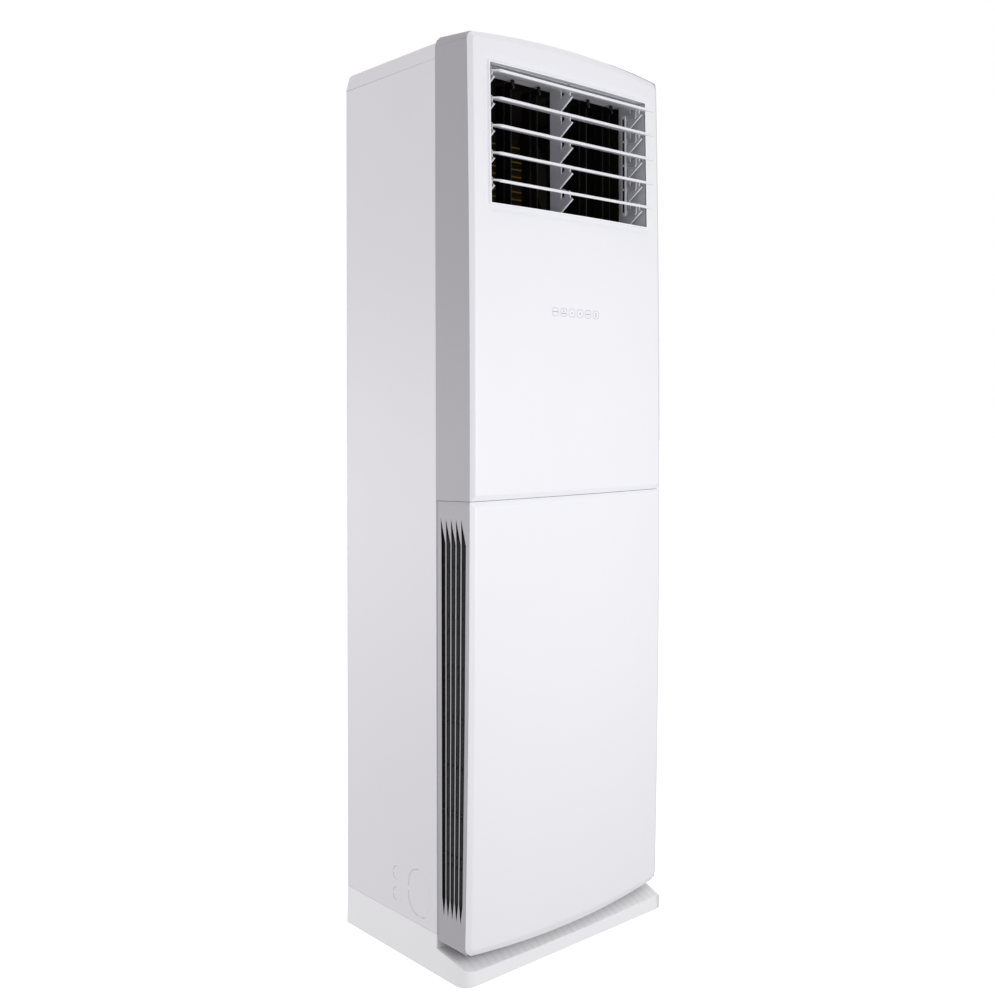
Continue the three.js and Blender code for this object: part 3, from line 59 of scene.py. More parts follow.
# %% Camera
picture_width, middle_row, horizon_row = 995, 500, 405.76
focal_length, sensor_width = 1126.72, 36
bpy.ops.object.select_all(action="DESELECT")
bpy.ops.object.camera_add(
    location=(-1.6215, -1.7758, 1.0772),
    rotation=[math.radians(angle) for angle in (90.301, 0.137, -41.752)],
)
camera = bpy.context.object
camera.name = "camera"
camera.data.sensor_fit = "HORIZONTAL"
camera.data.sensor_width = sensor_width
camera.data.lens = focal_length / picture_width * sensor_width
camera.data.shift_y = (horizon_row - middle_row) / picture_width
bpy.context.scene.camera = camera
print("lens:", round(camera.data.lens, 2), "mm")

# %% [markdown]
# ## Floor and light
# The surroundings are white, and give an even light from all round. One soft light stands
# close in front at half the cabinet's height, so the front is brightest in its middle. A
# second stands behind on the left: it lights the side sheet, but not the panels' bevels,
# which therefore show as a slightly darker strip. Three weaker ones lift the foot of the
# side sheet, the inside of the outlet and the cover. The floor is left out of the diffuse
# and glossy rays, so it stays white without throwing light back up.

# %% Floor and surroundings
surroundings = 0.60
bpy.ops.mesh.primitive_plane_add(size=60, location=(0, 0, 0))
floor = bpy.context.object
floor.name = "floor"
floor.visible_diffuse = False
floor.visible_glossy = False

world = bpy.data.worlds.new("studio")
bpy.context.scene.world = world
world.use_nodes = True
sky = world.node_tree
sky.nodes["Background"].inputs["Color"].default_value = (1, 1, 1, 1)
seen = sky.nodes.new("ShaderNodeLightPath")
strength = sky.nodes.new("ShaderNodeMapRange")
strength.inputs["To Min"].default_value = surroundings
strength.inputs["To Max"].default_value = 1.0
sky.links.new(seen.outputs["Is Camera Ray"], strength.inputs["Value"])
sky.links.new(strength.outputs["Result"], sky.nodes["Background"].inputs["Strength"])
print("surroundings:", surroundings)


# %% Soft lights
def soft_light(name, position, target, size, power):
    """A round soft light; metres and watts."""
    bpy.ops.object.light_add(type="AREA", location=position)
    light = bpy.context.object
    light.name = name
    light.data.shape = "DISK"
    light.data.size = size
    light.data.energy = power
    direction = Vector(target) - Vector(position)
    light.rotation_euler = direction.to_track_quat("-Z", "Y").to_euler()
    light.visible_camera = False


soft_light("key_light", (0.1, -2.0, 0.94), (0, 0, 1.0), 1.3, 15.5)
soft_light("side_light", (-3.2, 3.4, 0.3), (-0.27, 0, 0.5), 2.6, 60)
soft_light("low_side_light", (-2.6, 1.3, 0.15), (-0.27, 0, 0.3), 1.4, 7)
soft_light("outlet_light", (-1.3, -2.1, 1.75), (0.1, -0.15, 1.6), 0.8, 1.2)
soft_light("top_light", (-0.4, -0.6, 4.4), (0, 0, 0.9), 2.6, 14)

view = bpy.context.scene.view_settings
view.view_transform = "Standard"
view.look = "None"

# %% [markdown]
# ## Finishes
# Moulded plastic is never one flat colour: it has a fine grain from its tool, a slight
# change of tone and a roughness that wanders. A photographed texture would show its seams
# on the long panels, so one helper builds all that from two noises on object coordinates,
# and each finish only changes colour, gloss and the size of the grain.

# %% Helpers for finishes
def linear(red, green, blue):
    """The linear values of a colour given in 0 to 255."""
    def one(value):
        value /= 255
        return value / 12.92 if value <= 0.04045 else ((value + 0.055) / 1.055) ** 2.4
    return one(red), one(green), one(blue)


def wire(material, source, output, target, socket):
    """Links an output of one node to an input of another."""
    material.node_tree.links.new(source.outputs[output], target.inputs[socket])


def new_finish(name, roughness, metallic=0.0, specular=0.5, coat=0.0):
    """A new material with its shader and its object coordinates."""
    material = bpy.data.materials.new(name)
    material.use_nodes = True
    shader = material.node_tree.nodes["Principled BSDF"]
    shader.inputs["Roughness"].default_value = roughness
    shader.inputs["Metallic"].default_value = metallic
    shader.inputs["Specular IOR Level"].default_value = specular
    shader.inputs["Coat Weight"].default_value = coat
    shader.inputs["Coat Roughness"].default_value = 0.12
    coordinates = material.node_tree.nodes.new("ShaderNodeTexCoord")
    return material, shader, coordinates


# %% Moulded and painted surfaces
def grained(name, colour, roughness, grain=0.6, depth=0.02, vary=0.03, **more):
    """A surface with a grain of the given size and depth, in mm, and a tone that varies."""
    material, shader, coordinates = new_finish(name, roughness, **more)
    nodes = material.node_tree.nodes
    cloud = nodes.new("ShaderNodeTexNoise")
    cloud.inputs["Scale"].default_value = 9
    cloud.inputs["Detail"].default_value = 3
    wire(material, coordinates, "Object", cloud, "Vector")
    tone = nodes.new("ShaderNodeMix")
    tone.data_type = "RGBA"
    base = linear(*colour)
    tone.inputs[6].default_value = [c * (1 - vary) for c in base] + [1]
    tone.inputs[7].default_value = [min(c * (1 + vary), 1) for c in base] + [1]
    wire(material, cloud, "Fac", tone, 0)
    material.node_tree.links.new(tone.outputs[2], shader.inputs["Base Color"])
    gloss = nodes.new("ShaderNodeMapRange")
    gloss.inputs["To Min"].default_value = roughness - 0.04
    gloss.inputs["To Max"].default_value = roughness + 0.05
    wire(material, cloud, "Fac", gloss, "Value")
    wire(material, gloss, "Result", shader, "Roughness")
    fine = nodes.new("ShaderNodeTexNoise")
    fine.inputs["Scale"].default_value = 1 / (grain * mm)
    fine.inputs["Detail"].default_value = 2
    wire(material, coordinates, "Object", fine, "Vector")
    bump = nodes.new("ShaderNodeBump")
    bump.inputs["Strength"].default_value = 0.35
    bump.inputs["Distance"].default_value = depth * mm
    wire(material, fine, "Fac", bump, "Height")
    wire(material, bump, "Normal", shader, "Normal")
    return material


# %% White, grey and black finishes
front_white = grained("front_white", (240, 240, 245), 0.30, grain=0.5, depth=0.010, vary=0.006)
louvre_white = grained("louvre_white", (240, 240, 245), 0.32, grain=0.5, depth=0.010, vary=0.01)
base_white = grained("base_white", (244, 243, 247), 0.45, grain=0.6, depth=0.02, vary=0.01)
# painted highlight: the outlet's rim is brighter than the front
rim_highlight = grained("rim_highlight", (253, 253, 255), 0.25, grain=0.5, depth=0.01, vary=0.004)
lever_shade = grained("lever_shade", (196, 196, 202), 0.45, grain=0.5, depth=0.02, vary=0.02)
slot_shade = grained("slot_shade", (16, 16, 18), 0.7, grain=0.6, depth=0.02, vary=0.1)
key_line = grained("key_line", (200, 199, 207), 0.4, grain=0.5, depth=0.01, vary=0.01)
key_mark = grained("key_mark", (180, 180, 188), 0.4, grain=0.5, depth=0.01, vary=0.02)
web_shade = grained("web_shade", (178, 175, 176), 0.6, grain=0.6, depth=0.02, vary=0.03)
# painted shade: the upper panel's side bevels, turned away from the light
bevel_shade = grained("bevel_shade", (229, 228, 234), 0.30, grain=0.5, depth=0.010, vary=0.006)
cabinet_paint = grained("cabinet_paint", (232, 230, 235), 0.42, grain=1.6, depth=0.03, vary=0.012)
trim_grey = grained("trim_grey", (178, 176, 182), 0.46, grain=0.45, depth=0.015, vary=0.012)
duct_grey = grained("duct_grey", (216, 216, 223), 0.50, grain=0.6, depth=0.015, vary=0.02)
vane_black = grained("vane_black", (17, 17, 19), 0.36, grain=0.5, depth=0.02, vary=0.1)
tray_black = grained("tray_black", (26, 26, 28), 0.55, grain=0.8, depth=0.03, vary=0.1)
scroll_white = grained("scroll_white", (214, 214, 214), 0.55, grain=1.0, depth=0.03, vary=0.03)
motor_shell = grained("motor_shell", (72, 74, 78), 0.48, grain=0.8, depth=0.03, vary=0.05)
floor_paper = grained("floor_paper", (250, 250, 250), 0.9, grain=3, depth=0.02, vary=0.003,
                      specular=0.1)
# the floor glows as brightly as its surroundings, so it stays as white as they are
glow = floor_paper.node_tree.nodes["Principled BSDF"].inputs
glow["Emission Color"].default_value = (1, 1, 1, 1)
glow["Emission Strength"].default_value = surroundings
floor.data.materials.append(floor_paper)
print("finishes:", len(bpy.data.materials))

# %% [markdown]
# ## Metals, foam, net and fins
# Zinc-plated sheet shows faint spangles, which a Voronoi texture gives. Foam is matt with
# open pores. The coil's fins stand 1.6 mm apart, far too thin to model one by one, so a
# wave along X draws them, and the filter net is two such waves crossed.

# %% Zinc, copper, foam
def spangled(name, colour, roughness, size):
    """Zinc-plated sheet; size is that of its spangles, in millimetres."""
    material, shader, coordinates = new_finish(name, roughness, metallic=0.85)
    nodes = material.node_tree.nodes
    cells = nodes.new("ShaderNodeTexVoronoi")
    cells.inputs["Scale"].default_value = 1 / (size * mm)
    wire(material, coordinates, "Object", cells, "Vector")
    ramp = nodes.new("ShaderNodeValToRGB")
    base = linear(*colour)
    ramp.color_ramp.elements[0].color = [c * 0.86 for c in base] + [1]
    ramp.color_ramp.elements[1].color = [min(c * 1.1, 1) for c in base] + [1]
    wire(material, cells, "Color", ramp, "Fac")
    wire(material, ramp, "Color", shader, "Base Color")
    return material


zinc_steel = spangled("zinc_steel", (176, 180, 184), 0.38, 7)
copper_tube = grained("copper_tube", (184, 112, 76), 0.30, grain=2.0, depth=0.02, vary=0.12,
                      metallic=0.95)
circuit_board = grained("circuit_board", (38, 92, 62), 0.40, grain=2.5, depth=0.08, vary=0.2)
plenum_foam = grained("plenum_foam", (38, 35, 30), 0.92, grain=1.6, depth=0.5, vary=0.2,
                      specular=0.2)
print("metals, board and foam:", zinc_steel.name, copper_tube.name, circuit_board.name,
      plenum_foam.name)


# %% Fins of the coil
def waves(material, coordinates, axis, pitch):
    """Waves along an axis of the object that repeat after a pitch in millimetres."""
    # a wave texture of scale 1 repeats after 2 pi / 20 units
    wave = material.node_tree.nodes.new("ShaderNodeTexWave")
    wave.bands_direction = axis
    wave.inputs["Scale"].default_value = 2 * math.pi / (20 * pitch * mm)
    wire(material, coordinates, "Object", wave, "Vector")
    return wave


def striped(name, dark, light, roughness, pitches, metallic=0.0):
    """Stripes across the given axes; each pitch is in millimetres."""
    material, shader, coordinates = new_finish(name, roughness, metallic=metallic)
    nodes, links = material.node_tree.nodes, material.node_tree.links
    stripes = None
    for axis, pitch in pitches.items():
        wave = waves(material, coordinates, axis, pitch)
        if stripes is None:
            stripes = wave.outputs["Fac"]
        else:
            both = nodes.new("ShaderNodeMath")
            both.operation = "MAXIMUM"
            links.new(stripes, both.inputs[0])
            links.new(wave.outputs["Fac"], both.inputs[1])
            stripes = both.outputs["Value"]
    ramp = nodes.new("ShaderNodeValToRGB")
    ramp.color_ramp.elements[0].position = 0.35
    ramp.color_ramp.elements[0].color = [*linear(*dark), 1]
    ramp.color_ramp.elements[1].position = 0.8
    ramp.color_ramp.elements[1].color = [*linear(*light), 1]
    links.new(stripes, ramp.inputs["Fac"])
    wire(material, ramp, "Color", shader, "Base Color")
    bump = nodes.new("ShaderNodeBump")
    bump.inputs["Strength"].default_value = 0.6
    bump.inputs["Distance"].default_value = 0.3 * mm
    wire(material, ramp, "Color", bump, "Height")
    wire(material, bump, "Normal", shader, "Normal")
    return material


coil_fins = striped("coil_fins", (14, 11, 6), (44, 36, 18), 0.5, {"X": 1.6}, metallic=0.3)
print("fins:", coil_fins.name)


# %% [markdown]
# ### Bands over a finish
# The coil's tubes shine through its fins as thin golden rows, and the toe has low ribs whose
# bands get painted shade, a trace darker. Both repeat evenly, so a wave mixes a second colour
# into the finish below and adds a ridge to its normal, which keeps the grain that is already
# there.

# %% Gold tube rows on the coil, ribs on the toe, net of the filter
def banded(material, axis, pitch, share, colour, depth):
    """Lays bands of a colour over a finish; share is the part of the pitch that they fill."""
    nodes = material.node_tree.nodes
    shader = nodes["Principled BSDF"]
    colour_below = shader.inputs["Base Color"].links[0].from_socket
    normal_below = shader.inputs["Normal"].links[0].from_socket
    coordinates = next(node for node in nodes if node.type == "TEX_COORD")
    wave = waves(material, coordinates, axis, pitch)
    edge = nodes.new("ShaderNodeMapRange")
    level, softness = 0.5 - 0.5 * math.cos(math.pi * (1 - share)), 0.12
    edge.inputs["From Min"].default_value = level - softness
    edge.inputs["From Max"].default_value = level + softness
    wire(material, wave, "Fac", edge, "Value")
    blend = nodes.new("ShaderNodeMix")
    blend.data_type = "RGBA"
    material.node_tree.links.new(colour_below, blend.inputs[6])
    blend.inputs[7].default_value = [*linear(*colour), 1]
    wire(material, edge, "Result", blend, 0)
    material.node_tree.links.new(blend.outputs[2], shader.inputs["Base Color"])
    ridge = nodes.new("ShaderNodeBump")
    ridge.inputs["Strength"].default_value = 0.5
    ridge.inputs["Distance"].default_value = depth * mm
    wire(material, wave, "Fac", ridge, "Height")
    material.node_tree.links.new(normal_below, ridge.inputs["Normal"])
    wire(material, ridge, "Normal", shader, "Normal")
    return material


banded(coil_fins, "Z", 19, 0.17, (176, 134, 52), 0.5)
# painted light: the toe's upward faces are brighter than the plinth, which lifts the panel's
# shade on them; painted shade makes the bands over its low ribs a trace darker
toe_painted_light = banded(grained("toe_painted_light", (250, 249, 252), 0.45, grain=0.6, depth=0.02, vary=0.01),
                   "X", 18, 0.35, (243, 242, 247), 0.08)
filter_net = striped("filter_net", (8, 8, 9), (36, 37, 40), 0.7, {"Y": 1.4, "Z": 1.4})
print("finishes:", len(bpy.data.materials))

# %% [markdown]
# ## Dressing the measured solids
# Each node carries the name of the finish that the record gives it, so one table is enough
# to hand every node its material.

# %% Finishes on the nodes
finishes = {
    "cabinet_paint": cabinet_paint, "base_white": base_white, "fascia_white": front_white,
    "trim_grey": trim_grey, "duct_grey": duct_grey, "louvre_white": louvre_white,
    "vane_black": vane_black, "plenum_foam": plenum_foam, "coil_fins": coil_fins,
    "copper_tube": copper_tube, "zinc_steel": zinc_steel, "tray_black": tray_black,
    "scroll_white": scroll_white, "motor_shell": motor_shell, "circuit_board": circuit_board,
    "filter_net": filter_net,
}
slot_of = {part["node"]: part["material_slot"] for part in frame["record"]["subparts"]}
body_of = {node: body for body, nodes in frame["record"]["behaviour"]["bodies"].items()
           for node in nodes}
for name, node in frame["nodes"].items():
    node.data.materials.clear()
    node.data.materials.append(finishes[slot_of[name]])
print("dressed", len(frame["nodes"]), "nodes in", len(finishes), "finishes")

# %% [markdown]
# ## Tools for modelling by hand
# Operators act on whatever is selected, so every step starts by clearing the selection.
# `place` moves the selected points of a mesh in edit mode by a rule, and `finish_piece`
# gives a finished mesh its finish and its body, and hides the nodes that it stands for.

# %% Small helpers
def only(piece):
    """Selects one object alone and makes it active."""
    bpy.ops.object.select_all(action="DESELECT")
    piece.select_set(True)
    bpy.context.view_layer.objects.active = piece


def edit(piece, kind="VERT"):
    """Enters edit mode with nothing selected."""
    only(piece)
    bpy.ops.object.mode_set(mode="EDIT")
    bpy.ops.mesh.select_mode(type=kind)
    bpy.ops.mesh.select_all(action="DESELECT")
    return bmesh.from_edit_mesh(piece.data)


def leave():
    """Goes back to object mode."""
    bpy.ops.object.mode_set(mode="OBJECT")


def place(piece, rule):
    """Moves the selected points of a mesh in edit mode."""
    points = bmesh.from_edit_mesh(piece.data)
    for point in points.verts:
        if point.select:
            point.co = rule(*point.co)
    bmesh.update_edit_mesh(piece.data)


def apply_modifier(piece, kind, **settings):
    """Adds a modifier with its settings and applies it at once."""
    only(piece)
    modifier = piece.modifiers.new(kind.lower(), kind)
    for key, value in settings.items():
        setattr(modifier, key, value)
    bpy.ops.object.modifier_apply(modifier=modifier.name)


def settle(piece):
    """Applies place, turn and scale, so the object lies at the origin."""
    only(piece)
    bpy.ops.object.transform_apply(location=True, rotation=True, scale=True)


def face_outwards(piece):
    """Turns all faces of a closed mesh outwards."""
    edit(piece)
    bpy.ops.mesh.select_all(action="SELECT")
    bpy.ops.mesh.normals_make_consistent(inside=False)
    leave()


def finish_piece(piece, name, slot, body, *nodes, angle=30):
    """Names a piece, gives it its finish and its body, and hides the nodes it stands for."""
    piece.name = name
    only(piece)
    bpy.ops.object.shade_smooth_by_angle(angle=math.radians(angle))
    piece.data.materials.clear()
    piece.data.materials.append(finishes[slot])
    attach(piece, body)
    if nodes:
        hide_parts(*nodes)
    print(name, len(piece.data.polygons), "faces")
    return piece


# %% [markdown]
# ## The two front panels
# Both white panels are one moulded sheet each: a face that bulges forwards between its
# sides and bows from top to bottom, with a bevel round its edge. Here each panel starts as
# a flat grid. Bisecting it at small steps inside its border gives the bevel and the round
# corners points of their own, and one rule then presses every point onto the form.

# %% The form that both panels share
back_shift = 217.297 * mm
half_width = 270 * mm
bevel_width, bevel_depth, bulge = 10 * mm, 6 * mm, 8 * mm
bevel_round = 2
half_face = half_width - bevel_width
border_steps = [step * mm for step in (0.5, 1.3, 2.5, 4, 6, 8, 9, 10, 11, 12, 14, 17)]
edge_depth, bow_height, bow_radius = 401.8 * mm, 1.125, 33.8


def edge_y(z):
    """Depth of the panels' side edge at a height; the edge bows forwards in the middle."""
    return back_shift - (edge_depth - (z - bow_height) ** 2 / (2 * bow_radius))


def rim_y(x, z):
    """Depth of the bevel's outer edge, which bulges forwards in the middle."""
    return edge_y(z) - bulge * (1 - (x / half_width) ** 2)


def face_y(x, z):
    """Depth of the panel's face inside the bevel."""
    return edge_y(z) - bevel_depth - bulge * (1 - (x / half_face) ** 2)


def arch(x, height):
    """How far an edge of a panel arches, from nothing at the sides to its height."""
    return height * (1 - min(abs(x) / half_face, 1) ** 2)


def bevel_share(inset):
    """How far the bevel has come at an inset: 0 at the rim, then rounded into 1 on the face."""
    step, width = inset / mm, bevel_width / mm
    if step < width - bevel_round:
        return step / width
    return 1 - max(width + bevel_round - step, 0) ** 2 / (4 * width * bevel_round)


def round_corner(x, z, low, high, low_radius, high_radius):
    """Turns the square corner of the grid into a round one; gives the inset from the outline."""
    side = 1 if x > 0 else -1
    for edge, radius, way in ((low, low_radius, 1), (high, high_radius, -1)):
        across = abs(x) - (half_width - radius)
        along = (edge - z) * way + radius
        if across > 0 and along > 0:
            reach = max(across, along)
            shrink = reach / math.hypot(across, along)
            new_x = side * (half_width - radius + across * shrink)
            return new_x, edge + way * (radius - along * shrink), radius - reach
    return x, z, min(half_width - abs(x), z - low, high - z)


# %% Sheets and their pressing
def cut_lines(panel, lines):
    """Bisects a panel along lines given as (axis, place)."""
    edit(panel)
    for axis, where in lines:
        normal = [1 if index == axis else 0 for index in range(3)]
        bpy.ops.mesh.select_all(action="SELECT")
        bpy.ops.mesh.bisect(plane_co=[where * n for n in normal], plane_no=normal)
    leave()


def front_sheet(low, high, columns, rows):
    """A flat panel sheet; low and high are the heights of its edges at the sides."""
    bpy.ops.object.select_all(action="DESELECT")
    bpy.ops.mesh.primitive_grid_add(
        x_subdivisions=columns, y_subdivisions=rows, size=1, rotation=(math.radians(90), 0, 0))
    panel = bpy.context.object
    panel.scale = (2 * half_width, high - low, 1)
    panel.location = (0, 0, (low + high) / 2)
    settle(panel)
    lines = []
    for step in border_steps:
        lines += [(0, half_width - step), (0, step - half_width)]
        lines += [(2, low + step), (2, high - step)]
    cut_lines(panel, lines)
    return panel


def press(panel, low, high, low_arch, high_arch, low_radius, high_radius, extra=None):
    """Presses the flat sheet onto its form; extra gives a further depth at a point."""
    reach = 30 * mm

    def lay(x, y, z):
        new_x, new_z, inset = round_corner(x, z, low, high, low_radius, high_radius)
        share = bevel_share(inset)
        depth = rim_y(new_x, new_z) * (1 - share) + face_y(new_x, new_z) * share
        if extra:
            depth += extra(x, z)
        up = max(0, 1 - (high - z) / reach) * arch(new_x, high_arch)
        down = max(0, 1 - (z - low) / reach) * arch(new_x, low_arch)
        return new_x, depth, new_z + up - down

    edit(panel)
    bpy.ops.mesh.select_all(action="SELECT")
    place(panel, lay)
    leave()


# %% [markdown]
# ### The sheet's thickness
# A Solidify modifier turns the sheet into a closed wall. Its vertex group is zero along
# the outer edge, so the panel thins to the edge that meets the grey mouldings.

# %% Thickness
lower_wall, upper_wall = 3 * mm, 2 * mm


def thicken(panel, thickness):
    """Gives a pressed sheet its wall, thinned to almost nothing along the outer edge."""
    group = panel.vertex_groups.new(name="wall")
    points = edit(panel, "EDGE")
    bpy.ops.mesh.select_non_manifold()
    border = {v.index for v in points.verts
              if v.select and v.co.y > rim_y(v.co.x, v.co.z) - 0.5 * mm}
    leave()
    inner = [v.index for v in panel.data.vertices if v.index not in border]
    group.add(inner, 1.0, "REPLACE")
    apply_modifier(panel, "SOLIDIFY", thickness=thickness, offset=-1, use_even_offset=False,
                   vertex_group="wall", thickness_vertex_group=0.02)
    edit(panel)
    bpy.ops.mesh.select_all(action="SELECT")
    bpy.ops.mesh.remove_doubles(threshold=0.005 * mm)
    leave()
    face_outwards(panel)
    print("rim points:", len(border), "wall:", round(thickness / mm, 1), "mm")


# %% Lower front panel, given by its low and high edge, their arches and corner radii
lower_form = (62 * mm, 909.4 * mm, 14 * mm, 0, 18 * mm, 2 * mm)
lower_front = front_sheet(*lower_form[:2], 48, 60)
press(lower_front, *lower_form)
thicken(lower_front, lower_wall)
finish_piece(lower_front, "lower_front", "fascia_white", "lower_panel", "lower_front_panel")

# %% [markdown]
# ### The opening of the upper panel
# Bisecting the grid at the opening's sides gives it exact straight edges. The strips just
# outside them become a thin raised rim and, behind it, a soft hollow that the picture
# shows as a grey band round the outlet.

# %% The outlet's rim
outlet_half, outlet_low, outlet_high = 221 * mm, 1471 * mm, 1736.5 * mm
rim_steps = (0, 0.5, 1.6, 2.4, 3.2, 4.2, 5.5, 7, 9, 12, 15, 18)
rim_width, hollow_start, hollow_end = 1.6, 6, 18
rim_raise, hollow_depth = 1.6, 2.4


def off_outlet(x, z):
    """How far a point lies outside the outlet's edge, in millimetres."""
    across = max(abs(x) - outlet_half, 0)
    up = max(outlet_low - z, z - outlet_high, 0)
    return math.hypot(across, up) / mm


def rim_height(x, z):
    """Depth added round the outlet: a raised rim, then a hollow that fades out."""
    off = off_outlet(x, z)
    if off < rim_width + 0.1:
        return (-1.2 if off < 0.2 else -rim_raise) * mm
    if off < hollow_start:
        share = (off - rim_width) / (hollow_start - rim_width)
        middle, swing = (hollow_depth - rim_raise) / 2, (hollow_depth + rim_raise) / 2
        return (middle - swing * math.cos(math.pi * share)) * mm
    if off < hollow_end:
        share = (off - hollow_start) / (hollow_end - hollow_start)
        return hollow_depth * mm * (0.5 + 0.5 * math.cos(math.pi * share))
    return 0


print("rim:", len(rim_steps), "steps round the outlet")

# %% Upper front panel
upper_form = (910.2 * mm, 1788 * mm, 0, 13.5 * mm, 2 * mm, 16 * mm)
upper_front = front_sheet(*upper_form[:2], 48, 62)
lines = []
for step in rim_steps:
    lines += [(0, outlet_half + step * mm), (0, -outlet_half - step * mm)]
    lines += [(2, outlet_low - step * mm), (2, outlet_high + step * mm)]
cut_lines(upper_front, lines)
opening = edit(upper_front, "FACE")
for face in opening.faces:
    middle = face.calc_center_median()
    face.select_set(abs(middle.x) < outlet_half and outlet_low < middle.z < outlet_high)
bpy.ops.mesh.delete(type="FACE")
leave()
press(upper_front, *upper_form, extra=rim_height)
thicken(upper_front, upper_wall)
finish_piece(upper_front, "upper_front", "fascia_white", "cabinet", "upper_front_panel")

# %% [markdown]
# ## Edges on the measured solids
# A folded sheet has an outer radius, and a moulding has no edge sharper than about half a
# millimetre. A copy of each solid is welded, its flat faces are joined again, and a Bevel
# modifier rounds its edges by what its own process leaves. Curved walls then shade
# smoothly across their facets.

# %% A rounded copy of a node
weld_distance, flat_angle = 0.01 * mm, math.radians(0.05)


def rounded_copy(node, radius, angle=32, segments=2):
    """A welded copy of a node with its edges rounded; radius is in millimetres."""
    only(frame["nodes"][node])
    bpy.ops.object.duplicate()
    piece = bpy.context.object
    edit(piece)
    bpy.ops.mesh.select_all(action="SELECT")
    bpy.ops.mesh.remove_doubles(threshold=weld_distance)
    bpy.ops.mesh.dissolve_limited(angle_limit=flat_angle)
    leave()
    if radius:
        apply_modifier(piece, "BEVEL", width=radius * mm, segments=segments,
                       limit_method="ANGLE", angle_limit=math.radians(angle + 3),
                       use_clamp_overlap=True)
    finish_piece(piece, node + "_shown", slot_of[node], body_of[node], node, angle=angle)
    apply_modifier(piece, "WEIGHTED_NORMAL", keep_sharp=True)
    return piece


# %% Mouldings and sheets with their own edge radius
edge_radius = {
    "top_cover": 0.5, "base_plinth": 0.8, "side_panel_left": 0.4, "side_panel_right": 0.4,
    "rear_panel": 0.4, "upper_trim_left": 0.1, "upper_trim_right": 0.1, "upper_trim_top": 0.1,
    "intake_grille_left": 0.15, "intake_grille_right": 0.15, "outlet_duct": 0.5,
    "louvre_support_left": 0.4, "louvre_support_centre": 0.4, "louvre_support_right": 0.4,
    "louvre_link": 0.4, "vane_link": 0.3, "vane_rail_lower": 0.3, "vane_rail_upper": 0.3,
    "drip_tray": 0.5, "gas_pipe": 0, "liquid_pipe": 0, "evaporator_end_left": 0,
    "evaporator_end_right": 0, "fan_scroll": 0.5, "inlet_bellmouth": 0, "impeller": 0,
    "fan_motor": 0.6, "motor_bracket": 0.3, "fan_shaft": 0.4, "impeller_nut": 0.4,
    "filter_left": 0.3, "filter_right": 0.3, "louvre_motor": 0.4, "vane_motor": 0.4,
    "fan_deck": 0.4, "middle_rail": 0.4, "control_box": 0.4, "control_box_cover": 0.3,
    "control_board": 0.3, "terminal_block": 0.5, "base_pan": 0.4, "touch_board": 0.3,
}
for index in range(1, 6):
    edge_radius[f"louvre_{index}"] = 0.45
for index in range(1, 7):
    edge_radius[f"vane_{index}"] = 0.3
shown = {node: rounded_copy(node, radius) for node, radius in edge_radius.items()}
print("rounded", len(shown), "pieces")

# %% [markdown]
# ## Fitting the rounded copies to what the eye sees
# Two small helpers are enough: one moves the points of a copy that pass a test, the other
# gives a second finish to the faces that pass one. The seam between the upper and lower
# fronts is a hairline that falls a little towards the rear, so the grilles' tops and the
# trims' feet follow one slope. The slots of the grilles run down almost to the sheet's foot,
# and their walls and floor get painted shade, so they look black inside.

# %% Moving points and painting faces
def move_points(piece, test, rule):
    """Moves the points of a piece that pass a test."""
    points = edit(piece)
    for point in points.verts:
        point.select_set(test(*point.co))
    place(piece, rule)
    leave()


def everywhere(x, y, z):
    """The test that every point passes."""
    return True


def paint_faces(piece, finish, test):
    """Gives a further finish to the faces whose middle and normal pass a test."""
    piece.data.materials.append(finish)
    for face in piece.data.polygons:
        if test(face.center, face.normal):
            face.material_index = len(piece.data.materials) - 1


# %% Grilles and side trims
slot_setback, slot_rear, slot_low, slot_high = 4 * mm, -90 * mm, 100 * mm, 890 * mm
slot_tips, tip_drop = 175 * mm, 14 * mm
slot_floor = (265.9 * mm, 266.7 * mm)
grille_top, grille_drop = 908.9 * mm, 0.1 * mm
trim_foot, trim_drop = 913.2 * mm, 2.3 * mm
trim_top, trim_lift = 1777 * mm, 0.3 * mm
seam_start, seam_run, seam_slope = -186 * mm, 100 * mm, 0.03


def in_slot(y, z):
    """Whether a point of a grille belongs to its slots."""
    return edge_y(z) + slot_setback < y < slot_rear and slot_low < z < slot_high


def seam_fall(y):
    """How far the seam between grille and trim falls towards the rear."""
    return seam_slope * min(max(y - seam_start, 0), seam_run)


for side in ("left", "right"):
    grille, trim = shown["intake_grille_" + side], shown["upper_trim_" + side]
    move_points(grille, lambda x, y, z: in_slot(y, z) and z < slot_tips,
                lambda x, y, z: (x, y, z - tip_drop))
    move_points(grille, lambda x, y, z: z > grille_top,
                lambda x, y, z: (x, y, z - grille_drop - seam_fall(y)))
    # painted shade: the slots' walls and floor are near black
    paint_faces(grille, slot_shade, lambda middle, normal: in_slot(middle.y, middle.z) and (
        abs(normal.x) < 0.6 or slot_floor[0] < abs(middle.x) < slot_floor[1]))
    move_points(trim, lambda x, y, z: z < trim_foot,
                lambda x, y, z: (x, y, z - trim_drop - seam_fall(y)))
    move_points(trim, lambda x, y, z: z > trim_top,
                lambda x, y, z: (x, y, z + trim_lift))
print("seam:", round((upper_form[0] - lower_form[1]) / mm, 2), "mm")

# %% [markdown]
# ### Top trim and top cover
# The grey strip along the top rises a little towards both ends at its rear, and towards the
# right at its front, to close the gap below the cover. The cover's solid has round rear
# corners over the sheets' square ones. Only its lower edge has to meet them, so each point
# of that edge goes straight out from the corner's middle to the square, and the crown is
# lifted by a few millimetres, to the height at which the picture shows it.

